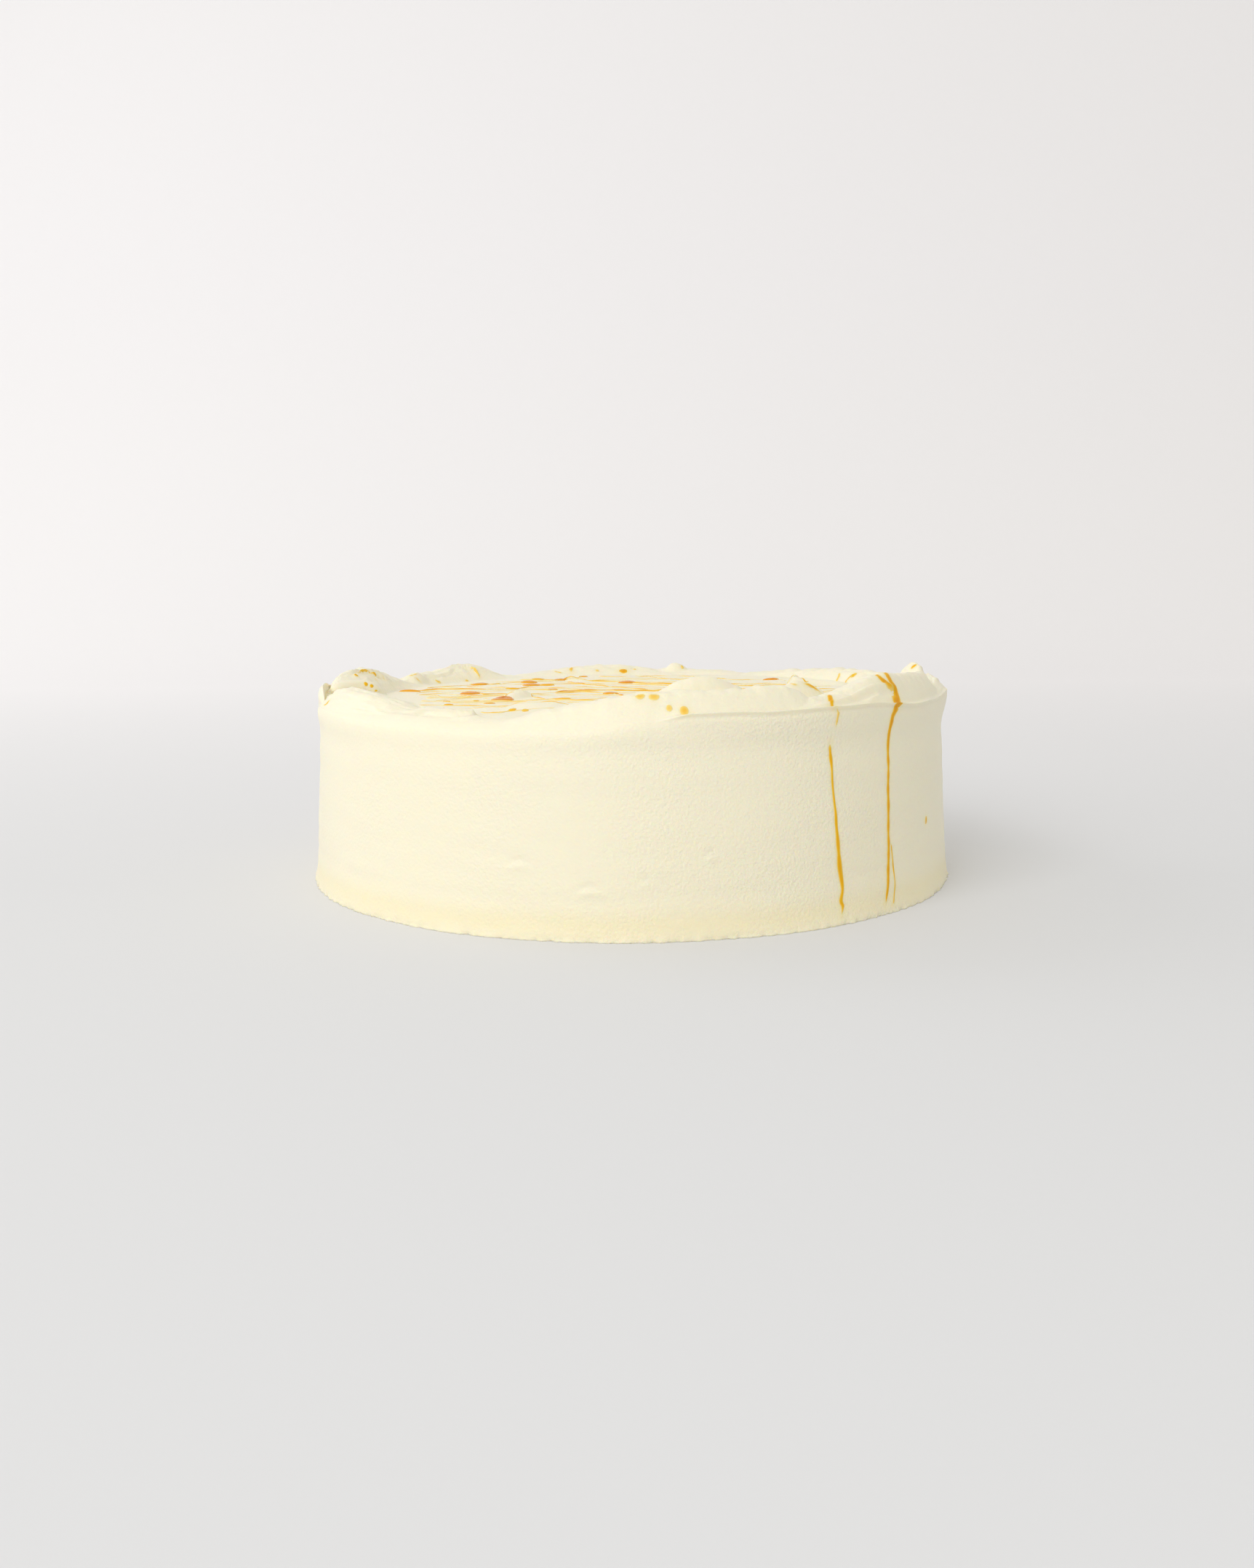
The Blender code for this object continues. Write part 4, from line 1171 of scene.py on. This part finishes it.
# Folds of cream that stand clear of the coat. The roll at the left is a soft tube through these points, as
# (x, y, z, half width, half height). ROLL_STREAK is how deep the lines along it are.
ROLL_PATH = (
    (-101, -12, 63.0, 2.6, 2.4),
    (-97, -7, 63.6, 2.8, 2.4),
    (-92.5, -3, 63.5, 2.7, 2.4),
    (-88.6, -1.4, 62.6, 2.3, 2.2),
    (-86.6, -0.8, 62.0, 1.6, 1.7),
)
ROLL_STREAK = 0.10
ROLL_RADIUS = 2.4
ROLL_SIDES = 36
ROLL_STEP = 0.35
ROLL_SEED = 500
# The ear: a thin flap of cream that the scraper turned up at the left. Its section as (radius, height), root
# first, where along the rim it runs, its thickness at root and lip, and how much smaller its far end is
EAR_SECTION = ((103.3, 57.0), (103.9, 60.0), (104.7, 62.2), (104.8, 64.0), (104.2, 65.4))
EAR_ANGLES = (-101.0, -76.0)
EAR_THICKNESS = (6.0, 0.7)
EAR_SHRINK = 0.55
EAR_STEPS = 90
# The stain along its inner face: share up from the root, width and strength
EAR_STAIN = (0.62, 0.07, 0.7)


def roll_skin(along, arc):
    """Points on the roll: ellipses square to its smooth path, rounded off at both ends, with seeded lines
    along it. along is the length along the path and arc the length round it, up from the side."""
    path = smooth_path(ROLL_PATH, ROLL_STEP)
    length = np.concatenate([[0], np.cumsum(np.linalg.norm(np.diff(path[:, :3], axis=0), axis=1))])
    ahead = unit(np.gradient(path[:, :3], axis=0))
    side = unit(np.cross(ahead, [0, 0, 1]))
    every = np.concatenate([path, side, np.cross(side, ahead)], axis=1)
    at = np.stack([np.interp(along, length, column) for column in every.T], axis=-1)
    share = 2 * along / length[-1] - 1
    taper = np.sqrt(np.clip(1 - np.abs(share) ** 5, 0.001, 1))
    wide, tall, turn = at[..., 3], at[..., 4], arc / ROLL_RADIUS
    reach = taper * (1 + ROLL_STREAK * streaks(turn * wide, share, ROLL_SEED) / ROLL_RADIUS)
    out, up = reach * np.cos(turn) * wide, reach * np.sin(turn) * tall
    return at[..., :3] + out[..., None] * at[..., 5:8] + up[..., None] * at[..., 8:11]


def roll_frame(along, arc):
    """Points on the roll with their outward directions, for the drops on it."""
    return surface_frame(roll_skin, along, arc, ROLL_SLOPE)


def roll(solid):
    """The roll of cream, from its skin's own grid."""
    spine = np.array(ROLL_PATH)[:, :3]
    along = np.arange(0, np.linalg.norm(np.diff(spine, axis=0), axis=1).sum(), ROLL_STEP)[:, None]
    arc = -(np.arange(ROLL_SIDES) + 0.5) * 2 * np.pi * ROLL_RADIUS / ROLL_SIDES
    closed_loft(solid, roll_skin(along, arc + 0 * along), grain=0.12, warm=0.0, stain=0.0)


def ear(solid):
    """A flap whose section is a hook in (radius, height), thick at its root and thin at its lip. It shrinks
    towards its far end and keeps its full height at the near end, where its edge shows."""
    hook = smooth_path(EAR_SECTION, 0.3)
    share = np.linspace(0, 1, len(hook))
    outward = unit(np.gradient(hook, axis=0))
    outward = np.stack([outward[:, 1], -outward[:, 0]], axis=-1)
    half = (EAR_THICKNESS[0] + (EAR_THICKNESS[1] - EAR_THICKNESS[0]) * share)[:, None] / 2
    half = half * np.sqrt(np.clip(1 - share[:, None] ** 8, 0.02, 1))
    outline = np.concatenate([hook - outward * half, (hook + outward * half)[::-1]])
    place = np.linspace(0, 1, EAR_STEPS)[:, None]
    turn = np.radians(EAR_ANGLES[0] + (EAR_ANGLES[1] - EAR_ANGLES[0]) * place)
    size = (1 - EAR_SHRINK) + EAR_SHRINK * np.sin(np.clip(place * 1.25, 0, 1) * np.pi / 2)
    size = size * np.sqrt(np.clip(1 - place**9, 0.02, 1)) + 0.03 * line_swell(place * 20, 4, 91)
    foot = EAR_SECTION[0]
    radius, height = [foot[axis] + (outline[:, axis] - foot[axis]) * size for axis in (0, 1)]
    rings = np.stack([radius * np.sin(turn), -radius * np.cos(turn), height], axis=-1)
    level, width, strength = EAR_STAIN
    line = bell(np.concatenate([share, np.zeros(len(hook))]) - level, width) * (0.4 + 0.6 * place)
    closed_loft(solid, rings, grain=0.1, warm=0.0, stain=(strength * line).ravel())


def cream_folds(settings):
    """The roll and the ear, as one piece of closed forms rooted in the coat."""
    solid = Solid()
    roll(solid)
    ear(solid)
    return solid.make("cream_folds", cream_material(settings))


def thin_passes():
    """Long thin strands drawn to and fro over the flat: lines a gap apart, each leaning and waving by seeded
    draws, as far as a circle round the flat."""
    draw = np.random.default_rng(PASS_SEED)
    for number in range(PASSES):
        level = (number - (PASSES - 1) / 2) * PASS_GAP + draw.uniform(-PASS_STRAY, PASS_STRAY)
        lean = draw.uniform(-PASS_LEAN, PASS_LEAN)
        phase = draw.uniform(0, 2 * np.pi)
        across = np.arange(-PASS_REACH, PASS_REACH, PASS_STEP)
        along = level + lean * across + PASS_WAVE * np.sin(across / PASS_WAVE_LENGTH + phase)
        kept = np.hypot(across, along) < PASS_REACH
        if kept.sum() > 3:
            path = np.stack([across[kept], along[kept]], axis=-1)
            yield Strand(draw.uniform(*PASS_WIDTHS), draw.uniform(*PASS_DEPTHS), path)


def drizzle_on_flat(settings):
    """The strands and drops across the top, as one piece. A strand's width, height and depth swell along
    it."""
    solid = Solid()
    for number, strand in enumerate([*STRANDS, *thin_passes()]):
        path = smooth_path(strand.path, BEAD_STEP)
        uneven = swelling(path, BEAD_STEP, STRAND_SWELL, number)
        width = strand.width * uneven.clip(STRAND_LEAST, STRAND_WIDEST)
        depth = STRAND_DEPTH * strand.depth * uneven.clip(STRAND_LEAST, STRAND_DEEPEST)
        height = (settings.bead_height / MM * width)[:, None]
        bead(solid, flat_frame, path, BEAD_STEP, BEAD_SECTION, width, depth, height, STRAND_WET)
    for number, (x, y, *size, turn, depth) in enumerate(DROPS):
        height = settings.drop_height / MM * min(1, DROP_RISE * sum(size))
        pool(solid, flat_frame, (x, y), size, turn, depth, DROP_EDGE, height, DROP_WET, DROP_SEED + number)
    return solid.make("sauce_on_flat", sauce_material(settings, "wet_yuzu_sauce", DROP_GLOSS))


def drizzle_on_rim(settings):
    """The runs down the wall and the drops on rim, wall and roll, as one piece of thin films."""
    solid = Solid()
    arc_per_degree = math.radians(1) * TOP_RADIUS
    for number, run in enumerate(RUNS):
        path = smooth_path(np.array(run.path, float) * [arc_per_degree, 1, 1], FILM_STEP)
        uneven = swelling(path, FILM_STEP, FILM_SWELL, number)
        width = FILM_WIDTH * path[:, 2] * uneven
        depth = run.depth * uneven * (FILM_THIN + FILM_GAIN * np.clip(path[:, 2] / FILM_BROAD, 0, FILM_MOST))
        bead(solid, rim_frame, path[:, :2], FILM_STEP, FILM_SECTION, width, depth, FILM_HEIGHT, FILM_WET)
    rim_drops = [(angle * arc_per_degree, *rest) for angle, *rest in RIM_DROPS]
    roll_drops = [(*place, 0, depth) for *place, depth in ROLL_DROPS]
    groups = ((rim_frame, RIM_DROP_SEED, rim_drops), (roll_frame, ROLL_DROP_SEED, roll_drops))
    for place, first, drops in groups:
        for seed, (u, v, *size, turn, depth) in enumerate(drops, first):
            pool(solid, place, (u, v), size, turn, depth, FILM_EDGE, FILM_DROP_HEIGHT, FILM_WET, seed)
    return solid.make("sauce_on_rim", sauce_material(settings, "film_of_yuzu_sauce", FILM_GLOSS))


# The stage, in metres: a floor that curves up into a backdrop
STAGE_WIDTH = 5.0
STAGE_FRONT = -2.2
STAGE_BACK = 1.3
STAGE_CURVE = 0.45
STAGE_HEIGHT = 2.6

# The photo's camera: its frame and focal length in pixels, place in metres, pitch and roll in degrees
PHOTO_SIZE = (1724, 2156)
FOCAL_PIXELS = 2000.0
SENSOR = 36.0
CAMERA_PLACE = (-0.00135, -0.50297, 0.1046)
CAMERA_PITCH = 8.6
CAMERA_ROLL = -0.434

# Square soft lights that face the cake: place and size in metres, and colour
SoftLight = namedtuple("SoftLight", "name place size colour")
KEY_LIGHT = SoftLight("key_light", (-0.95, -1.42, 1.15), 1.2, (0.985, 0.985, 1.0))
BACK_LIGHT = SoftLight("back_light", (-1.2, 0.6, 0.9), 0.8, (1.0, 1.0, 1.0))
LIGHT_TARGET = (0.0, 0.0, 0.045)


def stage_sweep(settings):
    """Floor, quarter-round and backdrop: a profile of (y, z) points carried across the width."""
    turn = np.linspace(0, np.pi / 2, 16)
    curve_y = STAGE_BACK - STAGE_CURVE + STAGE_CURVE * np.sin(turn)
    curve_z = STAGE_CURVE * (1 - np.cos(turn))
    y = np.concatenate([[STAGE_FRONT], curve_y, [STAGE_BACK]])
    z = np.concatenate([[0], curve_z, [STAGE_HEIGHT]])
    x = np.array([-STAGE_WIDTH / 2, STAGE_WIDTH / 2])
    points = np.stack([np.tile(x, len(y)), np.repeat(y, 2), np.repeat(z, 2)], axis=-1)
    mesh = bpy.data.meshes.new("stage_sweep")
    mesh.from_pydata(points.tolist(), [], grid_faces(len(y), 2, closed=False).tolist())
    mesh.shade_smooth()
    mesh.materials.append(stage_material(settings))
    sweep = bpy.data.objects.new("stage_sweep", mesh)
    bpy.context.scene.collection.objects.link(sweep)
    sweep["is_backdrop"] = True


def soft_light(kind, watts):
    """A square area light that faces the cake."""
    data = bpy.data.lights.new(kind.name, "AREA")
    data.shape = "SQUARE"
    data.size = kind.size
    data.energy = watts
    data.color = kind.colour
    lamp = bpy.data.objects.new(kind.name, data)
    lamp.location = kind.place
    lamp.rotation_euler = (Vector(LIGHT_TARGET) - Vector(kind.place)).to_track_quat("-Z", "Y").to_euler()
    bpy.context.scene.collection.objects.link(lamp)


def even_light(settings):
    """A world of one pale colour, for soft light from all round."""
    world = bpy.data.worlds.new("even_light")
    world.use_nodes = True
    background = world.node_tree.nodes["Background"]
    background.inputs["Color"].default_value = (*settings.sky_colour, 1)
    background.inputs["Strength"].default_value = settings.sky_strength
    bpy.context.scene.world = world


def photo_camera():
    """The camera at the photo's place and angle."""
    data = bpy.data.cameras.new("photo_camera")
    data.sensor_width = SENSOR
    data.lens = FOCAL_PIXELS / max(PHOTO_SIZE) * SENSOR
    data.clip_start = 0.01
    data.clip_end = 20
    camera = bpy.data.objects.new("photo_camera", data)
    pitch = Matrix.Rotation(math.radians(90 - CAMERA_PITCH), 3, "X")
    lean = Matrix.Rotation(math.radians(CAMERA_ROLL), 3, "Z")
    camera.rotation_euler = (pitch @ lean).to_euler()
    camera.location = CAMERA_PLACE
    bpy.context.scene.collection.objects.link(camera)
    bpy.context.scene.camera = camera


class YUZU_OT_cream_coat(bpy.types.Operator):
    """Builds the cream coat, which stands for the cake's solid"""

    bl_idname = "yuzu.cream_coat"
    bl_label = "Cream coat"

    def execute(self, context):
        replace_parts(cream_coat(context.scene.yuzu_cream), NODE)
        return {"FINISHED"}


class YUZU_OT_cream_folds(bpy.types.Operator):
    """Builds the roll and the ear of cream that stand clear of the coat"""

    bl_idname = "yuzu.cream_folds"
    bl_label = "Cream folds"

    def execute(self, context):
        cream_folds(context.scene.yuzu_cream)
        return {"FINISHED"}


class YUZU_OT_sauce_on_flat(bpy.types.Operator):
    """Drizzles sauce across the top"""

    bl_idname = "yuzu.sauce_on_flat"
    bl_label = "Sauce on the flat"

    def execute(self, context):
        drizzle_on_flat(context.scene.yuzu_sauce)
        return {"FINISHED"}


class YUZU_OT_sauce_on_rim(bpy.types.Operator):
    """Lets sauce run over the rim and down the wall"""

    bl_idname = "yuzu.sauce_on_rim"
    bl_label = "Sauce on the rim and wall"

    def execute(self, context):
        drizzle_on_rim(context.scene.yuzu_sauce)
        return {"FINISHED"}


class YUZU_OT_stage(bpy.types.Operator):
    """Sets up the floor, the lights and the camera"""

    bl_idname = "yuzu.stage"
    bl_label = "Stage"

    def execute(self, context):
        settings = context.scene.yuzu_stage
        stage_sweep(settings)
        even_light(settings)
        soft_light(KEY_LIGHT, settings.key_power)
        soft_light(BACK_LIGHT, settings.back_power)
        photo_camera()
        context.scene.view_settings.view_transform = "Standard"
        return {"FINISHED"}


class YUZU_PT_panel(bpy.types.Panel):
    """Lists the cake's settings and steps in the sidebar"""

    bl_label = "Yuzu cheesecake"
    bl_idname = "YUZU_PT_panel"
    bl_space_type = "VIEW_3D"
    bl_region_type = "UI"
    bl_category = "Yuzu cake"

    def draw(self, context):
        for group, _, steps in PANEL_ROWS:
            settings = getattr(context.scene, group)
            for name in settings.__annotations__:
                self.layout.prop(settings, name)
            for step in steps:
                self.layout.operator(step.bl_idname)


PANEL_ROWS = (
    ("yuzu_cream", YuzuCreamSettings, (YUZU_OT_cream_coat, YUZU_OT_cream_folds)),
    ("yuzu_sauce", YuzuSauceSettings, (YUZU_OT_sauce_on_flat, YUZU_OT_sauce_on_rim)),
    ("yuzu_stage", YuzuStageSettings, (YUZU_OT_stage,)),
)


def register():
    for name, group, steps in PANEL_ROWS:
        for kind in (group, *steps):
            bpy.utils.register_class(kind)
        setattr(bpy.types.Scene, name, PointerProperty(type=group))
    bpy.utils.register_class(YUZU_PT_panel)


def unregister():
    bpy.utils.unregister_class(YUZU_PT_panel)
    for name, group, steps in PANEL_ROWS:
        delattr(bpy.types.Scene, name)
        for kind in (group, *steps):
            bpy.utils.unregister_class(kind)


def main():
    register()
    bpy.ops.yuzu.cream_coat()
    bpy.ops.yuzu.cream_folds()
    bpy.ops.yuzu.sauce_on_flat()
    bpy.ops.yuzu.sauce_on_rim()
    bpy.ops.yuzu.stage()
    boxes = {"cad": CAD_BOX, "visual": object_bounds()}
    {name: [list(corner) for corner in box] for name, box in boxes.items()}


if __name__ == "__main__":
    main()
